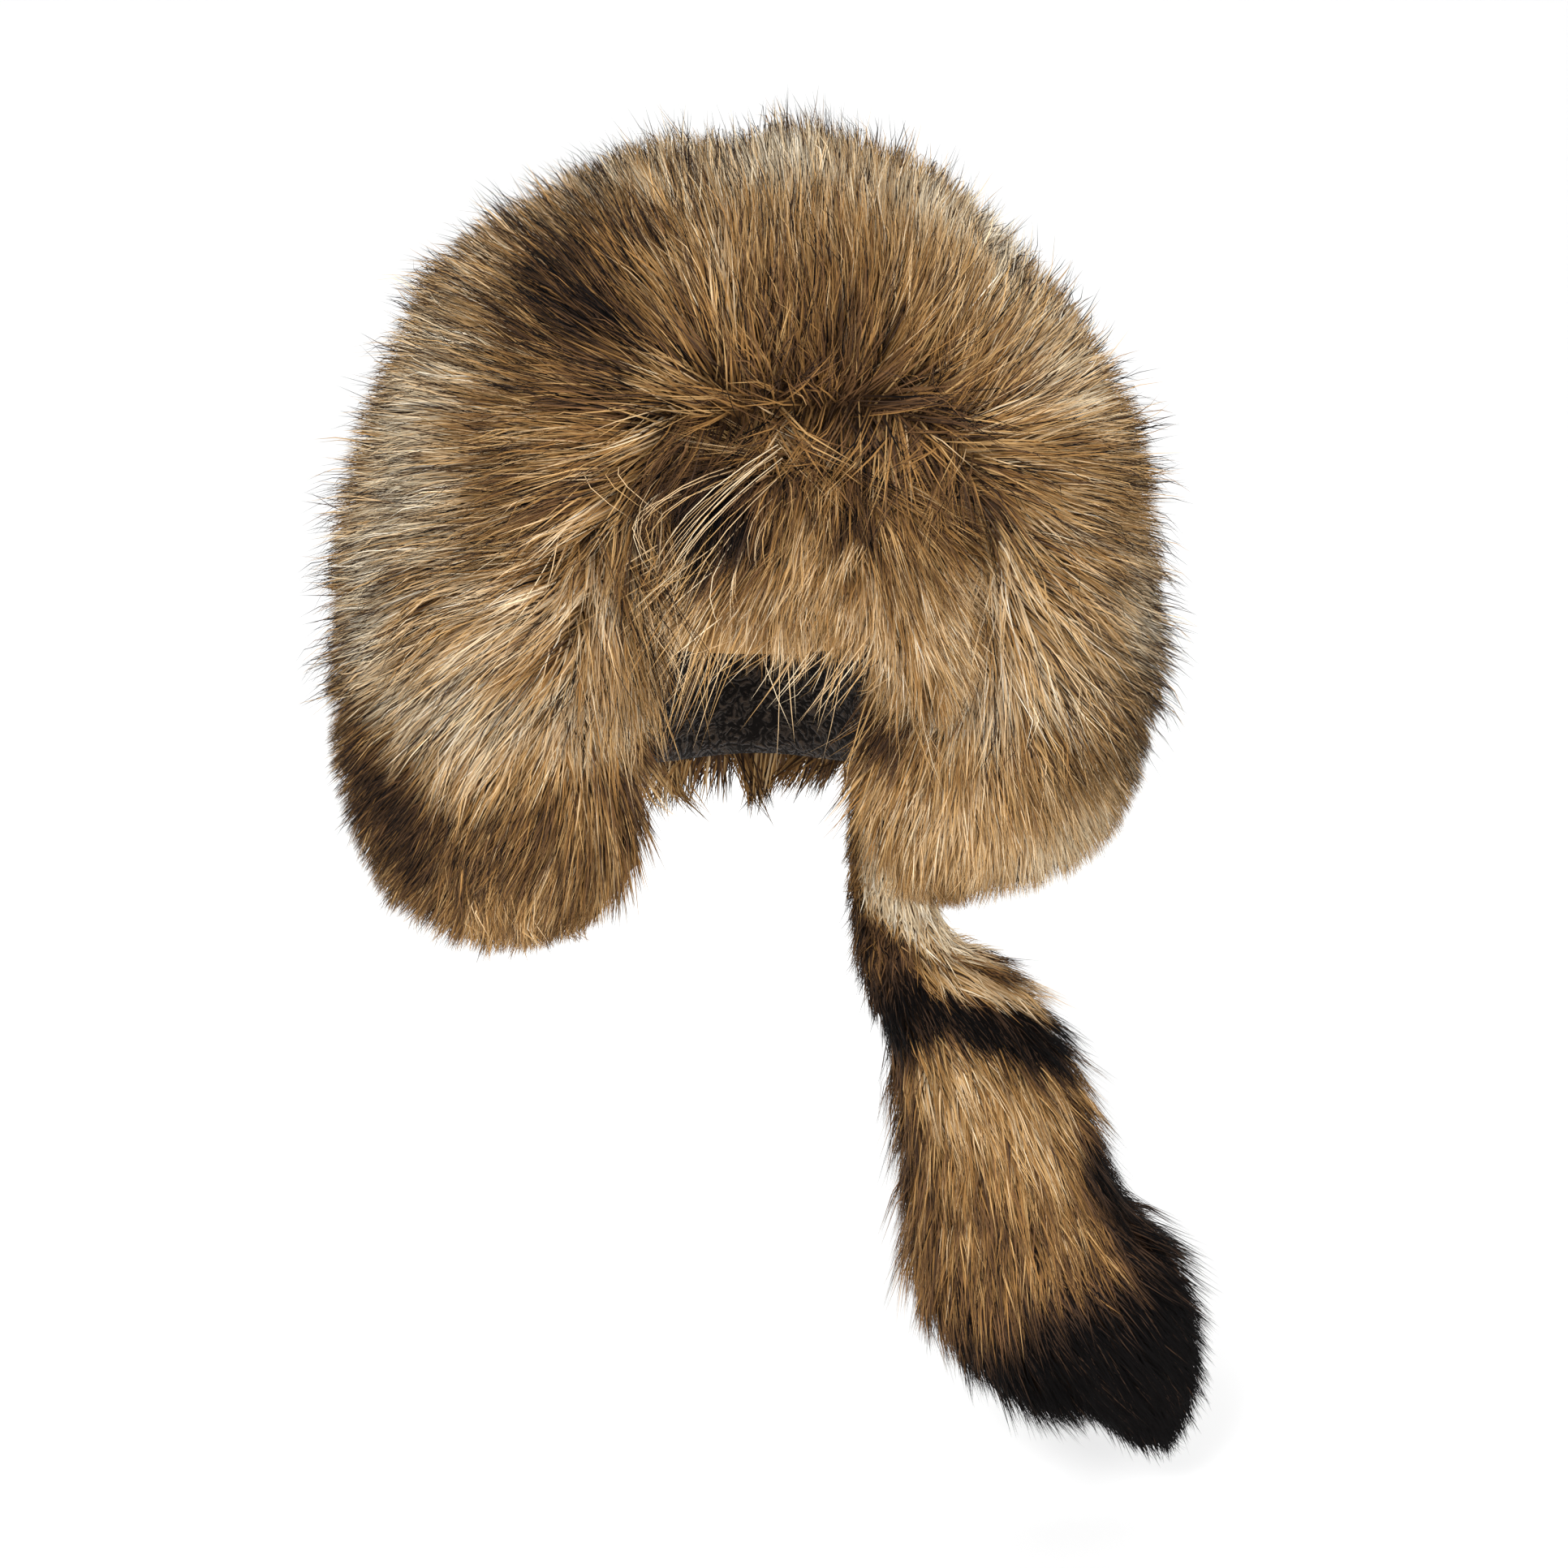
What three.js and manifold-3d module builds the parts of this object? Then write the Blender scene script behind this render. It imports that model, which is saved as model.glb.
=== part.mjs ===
// Fur hat with hanging ear flaps, a turned-up forehead flap, a neck flap and a tail.
// Millimetres, +Z up. The front faces -Y and +X is the wearer's left.
// The origin is the inner top of the crown lining, on which the hat rests when it is worn.
import * as THREE from 'three';
import { mergeVertices } from 'three/addons/utils/BufferGeometryUtils.js';
import Module from 'manifold-3d';

// The hollow inside the lining: a rounded dome over an upright oval wall.
const HOLLOW_HALF_WIDTH = 78;
const HOLLOW_HALF_LENGTH = 95;
const DOME_HEIGHT = 95;
const DOME_ROUNDNESS = 2.4;

// Lining sheets, the gap behind the fur and the gap, in degrees, between neighbours.
const LINING = 3;
const GAP = 2.2;
const GAP_ANGLE = 0.8;

// Outer form of the fur, measured from the centre of the dome's base.
const FUR_HALF_WIDTH_LEFT = 182;
const FUR_HALF_WIDTH_RIGHT = 189;
const FUR_HALF_LENGTH_FRONT = 158;
const FUR_HALF_LENGTH_BACK = 176;
const FUR_HEIGHT = 203;
const FUR_DROP_LEFT = 141;
const FUR_DROP_RIGHT = 163;
const FUR_DROP_BACK = 150;
const FUR_ROUNDNESS_ABOVE = 2.1;
const FUR_ROUNDNESS_BELOW = 4.5;

// Shallow places in the fur, as bearings and slopes in degrees: the thin fur over the left brow,
// the whorl above the forehead flap, and the notches in the outline where pelts meet.
const DENTS = [
  { bearing: -4, slope: 80, reach: 20, share: 0.17 },
  { bearing: 27, slope: 60, reach: 16, share: 0.08 },
  { bearing: 82, slope: 36, reach: 12, share: 0.06 },
  { bearing: 0, slope: 8, reach: 11, share: 0.04 },
];

// Fur thins towards the face opening below the brow.
const FACE_EDGE_SHARE = 0.12;

// Degrees that a hair leans down between its root and its tip.
const COMB = 15;

// Slopes are measured in degrees from straight up, and bearings from the front to the left.
const SEAM_SLOPE = 90;
const RIM_SLOPE_FRONT = 70;
const FOREHEAD_TOP_SLOPE = 45;
const FOREHEAD_ARCH = 17;
const FRINGE_SLOPE = 77;
const FRINGE_CORNER = 12;
const FRINGE_LOCKS_SHARE = 0.7;
const FOREHEAD_BEARINGS = [-27, 45];
const FACE_BEARING = 36;
const BROW_SHARE = 1.6;
const NECK_BEARING = 127;

// Lengths of the hanging flaps below the seam.
const HEM_LEFT = 108;
const HEM_RIGHT = 126;
const HEM_NECK = 116;
const HEM_CORNER = 0.14;

// Locks: the depth of the solid mass that they grow on, their height in halves of that depth,
// the spread of that height, and the share of a lock's foot and height that its waist has.
const MASS_DEPTH = 0.86;
const LOCK_HEIGHT = 0.3;
const HEM_LOCK_HEIGHT = 0.16;
const LOCK_SPREAD = 0.5;
const WAIST_WIDTH = 0.68;
const WAIST_HEIGHT = 0.5;
const WOBBLE = 6;

// Depths in the pile between which the crown makes room for the forehead flap.
const NOTCH_DEPTHS = [-0.04, 1.3];

const TAIL_LOCK_HEIGHT = 0.16;
const TAIL_LOCK_LEAN = 0.12;
const TAIL_TIP_LENGTH = 45;

// Middle line of the tail from its root to its tip, with its half width and half depth.
const TAIL_SECTIONS = [
  { x: 62, y: 78, z: -250, width: 22, depth: 19 },
  { x: 76, y: 74, z: -300, width: 31, depth: 25 },
  { x: 101, y: 70, z: -342, width: 40, depth: 32 },
  { x: 116, y: 66, z: -384, width: 45, depth: 36 },
  { x: 126, y: 63, z: -426, width: 51, depth: 39 },
  { x: 137, y: 61, z: -466, width: 60, depth: 42 },
  { x: 162, y: 59, z: -500, width: 60, depth: 43 },
  { x: 187, y: 58, z: -527, width: 42, depth: 34 },
  { x: 202, y: 57, z: -552, width: 26, depth: 21 },
  { x: 211, y: 56, z: -571, width: 10, depth: 8 },
];

// Grid cells across, along and through each piece.
const CROWN_GRID = [14, 14, 1];
const LINING_GRID = [12, 3, 1];
const FLAP_GRID = [7, 7, 2];
const FOREHEAD_GRID = [8, 4, 1];
const NOTCH_GRID = [12, 4, 1];
const TAIL_GRID = [3, 13, 2];

const LINING_ROUGHNESS = 0.95;
const FUR_ROUGHNESS = 0.8;
const COLOURS = {
  lining: 0x3f3833,
  crown: 0x8f744e,
  forehead: 0x7c6040,
  ear: 0x9d8563,
  neck: 0x6f5c46,
  tail: 0x86694a,
};

const DEGREE = Math.PI / 180;
const CENTRE = new THREE.Vector3(0, 0, -DOME_HEIGHT);

const wasm = await Module();
wasm.setup();

function mix(from, to, share) {
  return from + (to - from) * share;
}

// Repeatable scatter from 0 to 1 for a place on a grid.
function scatter(x, y, z) {
  const wave = Math.sin(x * 127.1 + y * 311.7 + z * 74.7) * 43758.5453;
  return wave - Math.floor(wave);
}

// Maps the square from -1 to 1 onto a disc, ring by ring.
function squareToDisc(x, y) {
  const size = Math.max(Math.abs(x), Math.abs(y), 1e-9);
  return [x * Math.sqrt(1 - (y / size) ** 2 / 2), y * Math.sqrt(1 - (x / size) ** 2 / 2)];
}

function direction(bearing, slope) {
  const flat = Math.sin(slope * DEGREE);
  return new THREE.Vector3(
    flat * Math.sin(bearing * DEGREE),
    -flat * Math.cos(bearing * DEGREE),
    Math.cos(slope * DEGREE)
  );
}

function ovalRadius(bearing) {
  const across = Math.sin(bearing * DEGREE) / HOLLOW_HALF_WIDTH;
  const along = Math.cos(bearing * DEGREE) / HOLLOW_HALF_LENGTH;
  return 1 / Math.hypot(across, along);
}

// Slope at which the upright wall is the given length below the seam.
function wallSlope(bearing, drop) {
  return SEAM_SLOPE + Math.atan2(drop, ovalRadius(bearing)) / DEGREE;
}

// Point at a distance outside the hollow: on the dome above the seam, on the wall below it.
function hollowPoint(bearing, slope, outside) {
  const aim = direction(bearing, slope);
  const up = Math.max(aim.z, 0) / DOME_HEIGHT;
  const flat = Math.abs(Math.sin(slope * DEGREE)) / ovalRadius(bearing);
  const power = DOME_ROUNDNESS;
  const point = aim.clone().multiplyScalar((flat ** power + up ** power) ** (-1 / power));
  const round = Math.max(flat, 1e-6) ** (power - 2);
  const normal = new THREE.Vector3(
    (round * aim.x) / HOLLOW_HALF_WIDTH ** 2,
    (round * aim.y) / HOLLOW_HALF_LENGTH ** 2,
    up ** (power - 1) / DOME_HEIGHT
  );
  return point.addScaledVector(normal.normalize(), outside).add(CENTRE);
}

function dentShare(bearing, slope) {
  const aim = direction(bearing, slope);
  let share = 1;
  for (const dent of DENTS) {
    const apart = aim.angleTo(direction(dent.bearing, dent.slope)) / DEGREE;
    share -= dent.share * Math.exp(-((apart / dent.reach) ** 2));
  }
  return share;
}

// The fur thins from a quarter turn to the face opening, and only below the seam.
function faceEdgeShare(bearing, slope) {
  const near = 1 - THREE.MathUtils.smoothstep(Math.abs(bearing), FACE_BEARING, 2 * FACE_BEARING);
  const below = THREE.MathUtils.smoothstep(slope, SEAM_SLOPE, SEAM_SLOPE + 2 * COMB);
  return 1 - FACE_EDGE_SHARE * near * below;
}

// Point on the outer form of the fur: a rounded box-like oval, higher than it is deep.
function furPoint(bearing, slope) {
  const aim = direction(bearing, slope);
  const toLeft = (1 + Math.sin(bearing * DEGREE)) / 2;
  const toBack = Math.max(-Math.cos(bearing * DEGREE), 0);
  const halfWidth = aim.x > 0 ? FUR_HALF_WIDTH_LEFT : FUR_HALF_WIDTH_RIGHT;
  const halfLength = aim.y > 0 ? FUR_HALF_LENGTH_BACK : FUR_HALF_LENGTH_FRONT;
  const drop = mix(mix(FUR_DROP_RIGHT, FUR_DROP_LEFT, toLeft), FUR_DROP_BACK, toBack);
  const above = aim.z > 0;
  const power = above ? FUR_ROUNDNESS_ABOVE : FUR_ROUNDNESS_BELOW;
  const flat = Math.hypot(aim.x / halfWidth, aim.y / halfLength);
  const high = Math.abs(aim.z) / (above ? FUR_HEIGHT : drop);
  const radius = (flat ** power + high ** power) ** (-1 / power);
  const share = dentShare(bearing, slope) * faceEdgeShare(bearing, slope);
  return aim.multiplyScalar(radius * share).add(CENTRE);
}

// Point in the fur: depth 0 is the root on the lining and depth 1 the outer form.
function pilePoint(bearing, slope, depth) {
  const root = hollowPoint(bearing, slope, LINING + GAP);
  const lean = COMB * Math.sin(slope * DEGREE) ** 2;
  return root.lerp(furPoint(bearing, slope + lean), depth);
}

// A closed solid from a box grid. Each quad for which lockHeight gives more than 0 grows one
// lock: a bent pyramid on that quad. The whole grid is then placed in space point by point.
function latticeSolid({ cells, place, lockHeight = () => 0, lean = [0, 0, 0] }) {
  const box = new THREE.BoxGeometry(2, 2, 2, ...cells);
  const corner = (index) => new THREE.Vector3().fromBufferAttribute(box.attributes.position, index);
  const points = [];
  for (let start = 0; start < box.index.count; start += 6) {
    const [a, b, d, , c] = box.index.array.subarray(start, start + 6);
    const quad = [corner(a), corner(b), corner(c), corner(d)];
    const normal = new THREE.Vector3().fromBufferAttribute(box.attributes.normal, a);
    const middle = quad.reduce((sum, point) => sum.addScaledVector(point, 0.25), new THREE.Vector3());
    const height = lockHeight(middle, normal);
    if (height === 0) {
      points.push(quad[0], quad[1], quad[3], quad[1], quad[2], quad[3]);
      continue;
    }
    const rise = normal.clone().multiplyScalar(height).add(new THREE.Vector3(...lean));
    const stretch = 1 + LOCK_SPREAD * (scatter(middle.x, middle.y, middle.z) - 0.5);
    const tip = middle.clone().addScaledVector(rise, stretch);
    const waist = quad.map((point) =>
      middle.clone().lerp(point, WAIST_WIDTH).addScaledVector(rise, WAIST_HEIGHT)
    );
    quad.forEach((point, side) => {
      const next = (side + 1) % 4;
      points.push(point, quad[next], waist[side], quad[next], waist[next], waist[side]);
      points.push(waist[side], waist[next], tip);
    });
  }
  const solid = mergeVertices(new THREE.BufferGeometry().setFromPoints(points), 1e-6);
  const position = solid.attributes.position;
  for (let index = 0; index < position.count; index += 1) {
    const spot = place(position.getX(index), position.getY(index), position.getZ(index));
    position.setXYZ(index, spot.x, spot.y, spot.z);
  }
  return solid;
}

// Degrees by which a grid line strays on the outer face. Roots and borders stay where they are.
function wobble(x, y, depth) {
  const fade = Math.max(1 - x * x, 0) * Math.max(1 - y * y, 0) * depth;
  return WOBBLE * fade * (scatter(x, y, 1) - 0.5);
}

// Depth in the pile of a point of the box grid, whose inner face is -1 and outer face 1.
function gridDepth(z) {
  return (MASS_DEPTH * (z + 1)) / 2;
}

function toManifold(geometry) {
  const vertProperties = Float32Array.from(geometry.attributes.position.array);
  const triVerts = Uint32Array.from(geometry.index.array);
  return new wasm.Manifold(new wasm.Mesh({ numProp: 3, vertProperties, triVerts }));
}

function toGeometry(manifold) {
  const mesh = manifold.getMesh();
  const geometry = new THREE.BufferGeometry();
  geometry.setAttribute('position', new THREE.BufferAttribute(mesh.vertProperties, 3));
  geometry.setIndex(new THREE.BufferAttribute(mesh.triVerts, 1));
  return geometry;
}

// Slope of the crown lining's rim: high over the brow, level round the sides and the back.
function rimSlope(bearing) {
  const away = THREE.MathUtils.smoothstep(Math.abs(bearing), FACE_BEARING, BROW_SHARE * FACE_BEARING);
  return mix(RIM_SLOPE_FRONT, SEAM_SLOPE, away);
}

function crownLining() {
  return latticeSolid({
    cells: CROWN_GRID,
    place: (x, y, z) => {
      const [across, along] = squareToDisc(x, y);
      const bearing = Math.atan2(across, -along) / DEGREE;
      const slope = Math.hypot(across, along) * rimSlope(bearing);
      return hollowPoint(bearing, slope, z > 0 ? LINING : 0);
    },
  });
}

// Length of a hanging flap, whose lower corners are round.
function hemLength(flap, x) {
  return flap.hem * (1 - HEM_CORNER * x ** 4);
}

function flapLining(flap) {
  return latticeSolid({
    cells: LINING_GRID,
    place: (x, y, z) => {
      const bearing = mix(flap.from, flap.to, (x + 1) / 2);
      const bottom = wallSlope(bearing, hemLength(flap, x));
      const slope = mix(bottom, rimSlope(bearing) + 2 * GAP_ANGLE, (y + 1) / 2);
      return hollowPoint(bearing, slope, z > 0 ? LINING : 0);
    },
  });
}

function flapFur(flap) {
  const lockHeight = (spot, normal) => {
    if (normal.z > 0) return LOCK_HEIGHT;
    const free = normal.y < 0 || normal.x * flap.freeSide > 0;
    return free ? HEM_LOCK_HEIGHT : 0;
  };
  return latticeSolid({
    cells: FLAP_GRID,
    place: (x, y, z) => {
      const depth = gridDepth(z);
      const bearing = mix(flap.from, flap.to, (x + 1) / 2) + wobble(x, y, depth);
      const bottom = wallSlope(bearing, hemLength(flap, x));
      const slope = mix(bottom, SEAM_SLOPE + GAP_ANGLE, (y + 1) / 2) + wobble(y, x, depth);
      return pilePoint(bearing, slope, depth);
    },
    lockHeight,
  });
}

// The forehead flap's sector, drawn in by a margin. Its top is an arch, and its lower edge
// hangs as a fringe over the face and meets the seam beside it.
function foreheadSlopes(bearing, x, margin) {
  const top = FOREHEAD_TOP_SLOPE + FOREHEAD_ARCH * x ** 4 + margin;
  const beside = THREE.MathUtils.smoothstep(Math.abs(bearing), FACE_BEARING - FRINGE_CORNER, FACE_BEARING);
  return [mix(FRINGE_SLOPE, SEAM_SLOPE, beside), top];
}

function foreheadBearing(x, margin) {
  return mix(FOREHEAD_BEARINGS[0] + margin, FOREHEAD_BEARINGS[1] - margin, (x + 1) / 2);
}

function foreheadFur() {
  return latticeSolid({
    cells: FOREHEAD_GRID,
    place: (x, y, z) => {
      const depth = gridDepth(z);
      const bearing = foreheadBearing(x, GAP_ANGLE) + wobble(x, y, depth);
      const [bottom, top] = foreheadSlopes(bearing, x, GAP_ANGLE);
      return pilePoint(bearing, mix(bottom, top, (y + 1) / 2), depth);
    },
    lockHeight: (spot, normal) => {
      if (normal.z > 0) return LOCK_HEIGHT;
      const overFace = Math.abs(foreheadBearing(spot.x, 0)) < FRINGE_LOCKS_SHARE * FACE_BEARING;
      return normal.y < 0 && overFace ? HEM_LOCK_HEIGHT : 0;
    },
  });
}

// The room that the forehead flap takes out of the crown's fur.
function foreheadNotch() {
  return latticeSolid({
    cells: NOTCH_GRID,
    place: (x, y, z) => {
      const bearing = foreheadBearing(x, 0);
      const [, top] = foreheadSlopes(bearing, x, 0);
      const slope = mix(SEAM_SLOPE + GAP_ANGLE, top, (y + 1) / 2);
      return pilePoint(bearing, slope, NOTCH_DEPTHS[z > 0 ? 1 : 0]);
    },
  });
}

function crownFur() {
  const dome = latticeSolid({
    cells: CROWN_GRID,
    place: (x, y, z) => {
      const [across, along] = squareToDisc(x, y);
      const depth = gridDepth(z);
      const bearing = Math.atan2(across, -along) / DEGREE;
      const slope = Math.hypot(across, along) * SEAM_SLOPE + wobble(x, y, depth);
      return pilePoint(bearing, slope, depth);
    },
    lockHeight: (spot, normal) => (normal.z > 0 ? LOCK_HEIGHT : 0),
  });
  return toGeometry(toManifold(dome).subtract(toManifold(foreheadNotch())));
}

// The tail is a bent, flattened club. Its locks lie along it and point to the tip.
function tailFur() {
  const middle = new THREE.CatmullRomCurve3(TAIL_SECTIONS.map(({ x, y, z }) => new THREE.Vector3(x, y, z)));
  const size = new THREE.CatmullRomCurve3(
    TAIL_SECTIONS.map(({ width, depth }) => new THREE.Vector3(width, depth, 0))
  );
  return latticeSolid({
    cells: TAIL_GRID,
    place: (x, y, z) => {
      const along = THREE.MathUtils.clamp((1 - y) / 2, 0, 1);
      const tangent = middle.getTangent(along);
      const across = new THREE.Vector3(0, 1, 0).cross(tangent).normalize();
      const back = tangent.clone().cross(across);
      const half = size.getPoint(along);
      const [wide, deep] = squareToDisc(x, z);
      const past = Math.max(-1 - y, 0);
      return middle
        .getPoint(along)
        .addScaledVector(across, wide * half.x)
        .addScaledVector(back, deep * half.y)
        .addScaledVector(tangent, past * TAIL_TIP_LENGTH);
    },
    lockHeight: (spot, normal) => (normal.y > 0 ? 0 : TAIL_LOCK_HEIGHT),
    lean: [0, -TAIL_LOCK_LEAN, 0],
  });
}

const EAR_LEFT = { from: FACE_BEARING, to: NECK_BEARING, hem: HEM_LEFT, freeSide: -1 };
const EAR_RIGHT = { from: -NECK_BEARING, to: -FACE_BEARING, hem: HEM_RIGHT, freeSide: 1 };
const NECK = {
  from: NECK_BEARING + GAP_ANGLE,
  to: 360 - NECK_BEARING - GAP_ANGLE,
  hem: HEM_NECK,
  freeSide: 0,
};

const hat = new THREE.Group();

function addPiece(name, geometry, color, roughness) {
  const material = new THREE.MeshStandardMaterial({ color, roughness, metalness: 0 });
  const mesh = new THREE.Mesh(geometry, material);
  mesh.name = name;
  hat.add(mesh);
}

addPiece('crown_lining', crownLining(), COLOURS.lining, LINING_ROUGHNESS);
addPiece('ear_lining_left', flapLining(EAR_LEFT), COLOURS.lining, LINING_ROUGHNESS);
addPiece('ear_lining_right', flapLining(EAR_RIGHT), COLOURS.lining, LINING_ROUGHNESS);
addPiece('neck_lining', flapLining(NECK), COLOURS.lining, LINING_ROUGHNESS);
addPiece('crown_fur', crownFur(), COLOURS.crown, FUR_ROUGHNESS);
addPiece('forehead_flap', foreheadFur(), COLOURS.forehead, FUR_ROUGHNESS);
addPiece('ear_fur_left', flapFur(EAR_LEFT), COLOURS.ear, FUR_ROUGHNESS);
addPiece('ear_fur_right', flapFur(EAR_RIGHT), COLOURS.ear, FUR_ROUGHNESS);
addPiece('neck_fur', flapFur(NECK), COLOURS.neck, FUR_ROUGHNESS);
addPiece('tail', tailFur(), COLOURS.tail, FUR_ROUGHNESS);

export default hat;
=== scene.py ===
"""Looks of a fur hat with hanging ear flaps, a turned-up forehead flap, a neck flap and a tail.

Metres, +Z up, the front faces -Y and +X is the wearer's left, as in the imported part. Left and
right are the wearer's. Places in the fur are a bearing, in degrees from the front to the left, and
a slope, in degrees from straight up, both seen from the middle of the dome's base. Each pelt is a
closed underfur body that stands for its CAD piece, with hairs on it: narrow ribbons that grow in
tufts, bend over and taper.
"""

import math

import bmesh
import bpy
import numpy as np
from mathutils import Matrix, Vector


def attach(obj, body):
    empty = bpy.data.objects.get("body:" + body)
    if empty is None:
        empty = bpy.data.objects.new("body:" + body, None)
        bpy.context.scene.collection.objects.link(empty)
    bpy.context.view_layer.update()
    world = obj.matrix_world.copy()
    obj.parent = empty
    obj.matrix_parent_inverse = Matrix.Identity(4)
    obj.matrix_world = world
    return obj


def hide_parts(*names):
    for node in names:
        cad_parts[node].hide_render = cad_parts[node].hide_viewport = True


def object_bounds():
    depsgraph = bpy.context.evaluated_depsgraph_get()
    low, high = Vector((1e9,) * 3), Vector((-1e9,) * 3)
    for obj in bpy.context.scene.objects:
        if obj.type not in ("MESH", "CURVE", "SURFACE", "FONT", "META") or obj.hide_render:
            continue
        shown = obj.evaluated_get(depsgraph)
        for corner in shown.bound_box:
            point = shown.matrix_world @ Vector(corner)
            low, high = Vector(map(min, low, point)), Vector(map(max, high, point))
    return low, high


bl_info = {
    "name": "Fur Hat with Tail",
    "version": (1, 0, 0),
    "blender": (4, 5, 0),
    "location": "3D View > Sidebar > Fur Hat",
    "description": "Builds the linings, underfur, hairs and stage of a fur hat",
    "category": "Add Mesh",
}

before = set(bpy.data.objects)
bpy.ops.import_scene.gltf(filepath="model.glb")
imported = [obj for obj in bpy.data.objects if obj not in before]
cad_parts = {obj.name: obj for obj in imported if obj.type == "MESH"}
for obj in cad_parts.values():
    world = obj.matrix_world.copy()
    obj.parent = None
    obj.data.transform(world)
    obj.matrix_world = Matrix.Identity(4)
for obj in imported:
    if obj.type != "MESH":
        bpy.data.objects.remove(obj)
CAD_BOX = [list(corner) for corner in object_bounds()]

# Forms that the fur follows, the same as in the part.
HOLLOW_HALF_WIDTH = 0.078
HOLLOW_HALF_LENGTH = 0.095
DOME_HEIGHT = 0.095
DOME_ROUNDNESS = 2.4
LINING = 0.003
GAP = 0.0022
GAP_ANGLE = 0.8
FUR_HALF_WIDTH_LEFT = 0.182
FUR_HALF_WIDTH_RIGHT = 0.189
FUR_HALF_LENGTH_FRONT = 0.158
FUR_HALF_LENGTH_BACK = 0.176
FUR_HEIGHT = 0.203
FUR_DROP_LEFT = 0.141
FUR_DROP_RIGHT = 0.163
FUR_DROP_BACK = 0.150
FUR_ROUNDNESS_ABOVE = 2.1
FUR_ROUNDNESS_BELOW = 4.5
COMB = 15
SEAM_SLOPE = 90
RIM_SLOPE_FRONT = 70
FOREHEAD_TOP_SLOPE = 45
FOREHEAD_ARCH = 17
FRINGE_SLOPE = 77
FRINGE_CORNER = 12
FOREHEAD_BEARINGS = (-27, 45)
FACE_BEARING = 36
BROW_SHARE = 1.6
NECK_BEARING = 127
HEM_LEFT = 0.108
HEM_RIGHT = 0.126
HEM_NECK = 0.116
HEM_CORNER = 0.14
FACE_EDGE_SHARE = 0.12
CENTRE = np.array([0, 0, -DOME_HEIGHT])

# Shallow places in the fur: bearing, slope and reach in degrees, and share of the radius added.
DENTS = (
    (-4, 80, 20, -0.17),
    (27, 60, 16, -0.08),
    (82, 36, 12, -0.06),
    (0, 8, 11, -0.04),
)
# Tufts of hair that stand out of that form, and hollows between them, in the same way.
TUFTS = (
    (-129, 12, 4, 0.04),
    (-165, 12, 6, -0.10),
    (140, 11, 4, 0.04),
    (-100, 22, 12, -0.03),
    (88, 42, 9, -0.15),
    (-76, 66, 14, -0.03),
    (83, 100, 6, 0.05),
    (-83, 104, 7, 0.02),
    (-80, 116, 9, 0.03),
    (-68, 135, 12, 0.05),
    (56, 144, 9, 0.03),
)

# Middle line of the tail, with its half width and half depth. Its root runs up into the neck
# flap's hem.
TAIL_SECTIONS = np.array(
    [
        # x, y, z, half width, half depth
        (0.060, 0.084, -0.212, 0.015, 0.014),
        (0.071, 0.074, -0.300, 0.023, 0.020),
        (0.099, 0.070, -0.342, 0.037, 0.031),
        (0.116, 0.066, -0.384, 0.045, 0.036),
        (0.126, 0.063, -0.426, 0.051, 0.039),
        (0.137, 0.061, -0.466, 0.060, 0.042),
        (0.162, 0.059, -0.500, 0.060, 0.043),
        (0.187, 0.058, -0.527, 0.042, 0.034),
        (0.202, 0.057, -0.552, 0.026, 0.021),
        (0.211, 0.056, -0.571, 0.010, 0.008),
    ]
)

# Underfur: how far its top lies under the outer form, and its least depth in the pile.
HAIR_STAND = 0.036
LEAST_DEPTH = 0.28
ROOT_DEPTH = 0.02
POCKET_DEPTH = 0.14

# The hair is combed away from a parting, a short line above the forehead flap.
PARTING = np.array([[0.010, -0.134, -0.005], [0.085, -0.113, -0.010]])
FRINGE_TOP = np.array([0.060, -0.115, 0.030])
FRINGE_END = (-24, 84)
DOWN = np.array([0.0, 0.0, -1.0])
# How strongly the combing waves, and how unruly each sort of hair is.
FLOW_WAVE = 0.16
UNRULY, UNRULY_FRINGE, UNRULY_WISPS = 0.10, 0.16, 0.26
# How many times stronger the droop gets on the forehead flap, and between which slopes.
FRINGE_FALL = (3.5, 54, 72)
WISP_FALL = (6, 68, 76)
# Hairs of the ear flaps are shorter beside the face opening, where they lose a share of their
# length that is less at the hem.
SHORT_BEARINGS = (34, 56)
SHORT_BY, SHORT_BY_AT_HEM = 0.5, 0.2
SHORT_SLOPES = (104, 118)
# Inward combing on the ear flaps: its strength, and the bearing where it ends.
INWARD_PULL = 0.25
INWARD_END = 62

# How tufts and hairs vary. Scatters are standard deviations, in degrees or metres.
LEAN_SCATTER = 8
UPRIGHT_AT_PARTING = 0.45
PARTING_REACH = (0.008, 0.045)
TIP_DROOP = 0.4
TUFT_LENGTHS = (0.82, 1.12)
LENGTH_WAVE = 0.12
MOST_SPREADS = 4
HAIR_LENGTHS = (0.7, 1.08)
STRAY_SCATTER = 0.0022
STRAY_LENGTH = 0.045
RIBBON_TURN = 0.45
RIBBON_WIDTHS = (0.7, 1.25)
RIBBON_TAPER = 0.55
TINY = 1e-9

# Sorts of hair: steps of its colour, of how black its tip is, and of how bright it is.
COAT_STEPS = 8
TIP_STEPS = 4
SHADE_STEPS = 3
# The coats by name, from the darkest step to the palest.
BLACK, DARK, BROWN, TAN, GOLD, PALE, CREAM, WHITE = np.arange(COAT_STEPS) / (COAT_STEPS - 1)
DYE_MAP = "OFBake"
# Where a hair's strip of the dye map starts and how much it takes, across and up.
STRIP_ACROSS = (0.2, 0.6)
STRIP_UP = (0.02, 0.96)
# How bright the darkest shade is, and how much brighter the brightest. Shares along a hair
# between which its root's colour ends and its tip's starts.
SHADE_LEAST, SHADE_RANGE = 0.9, 0.45
ROOT_FADE = (0.02, 0.5)
TIP_FADE = (0.55, 0.92)
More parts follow.
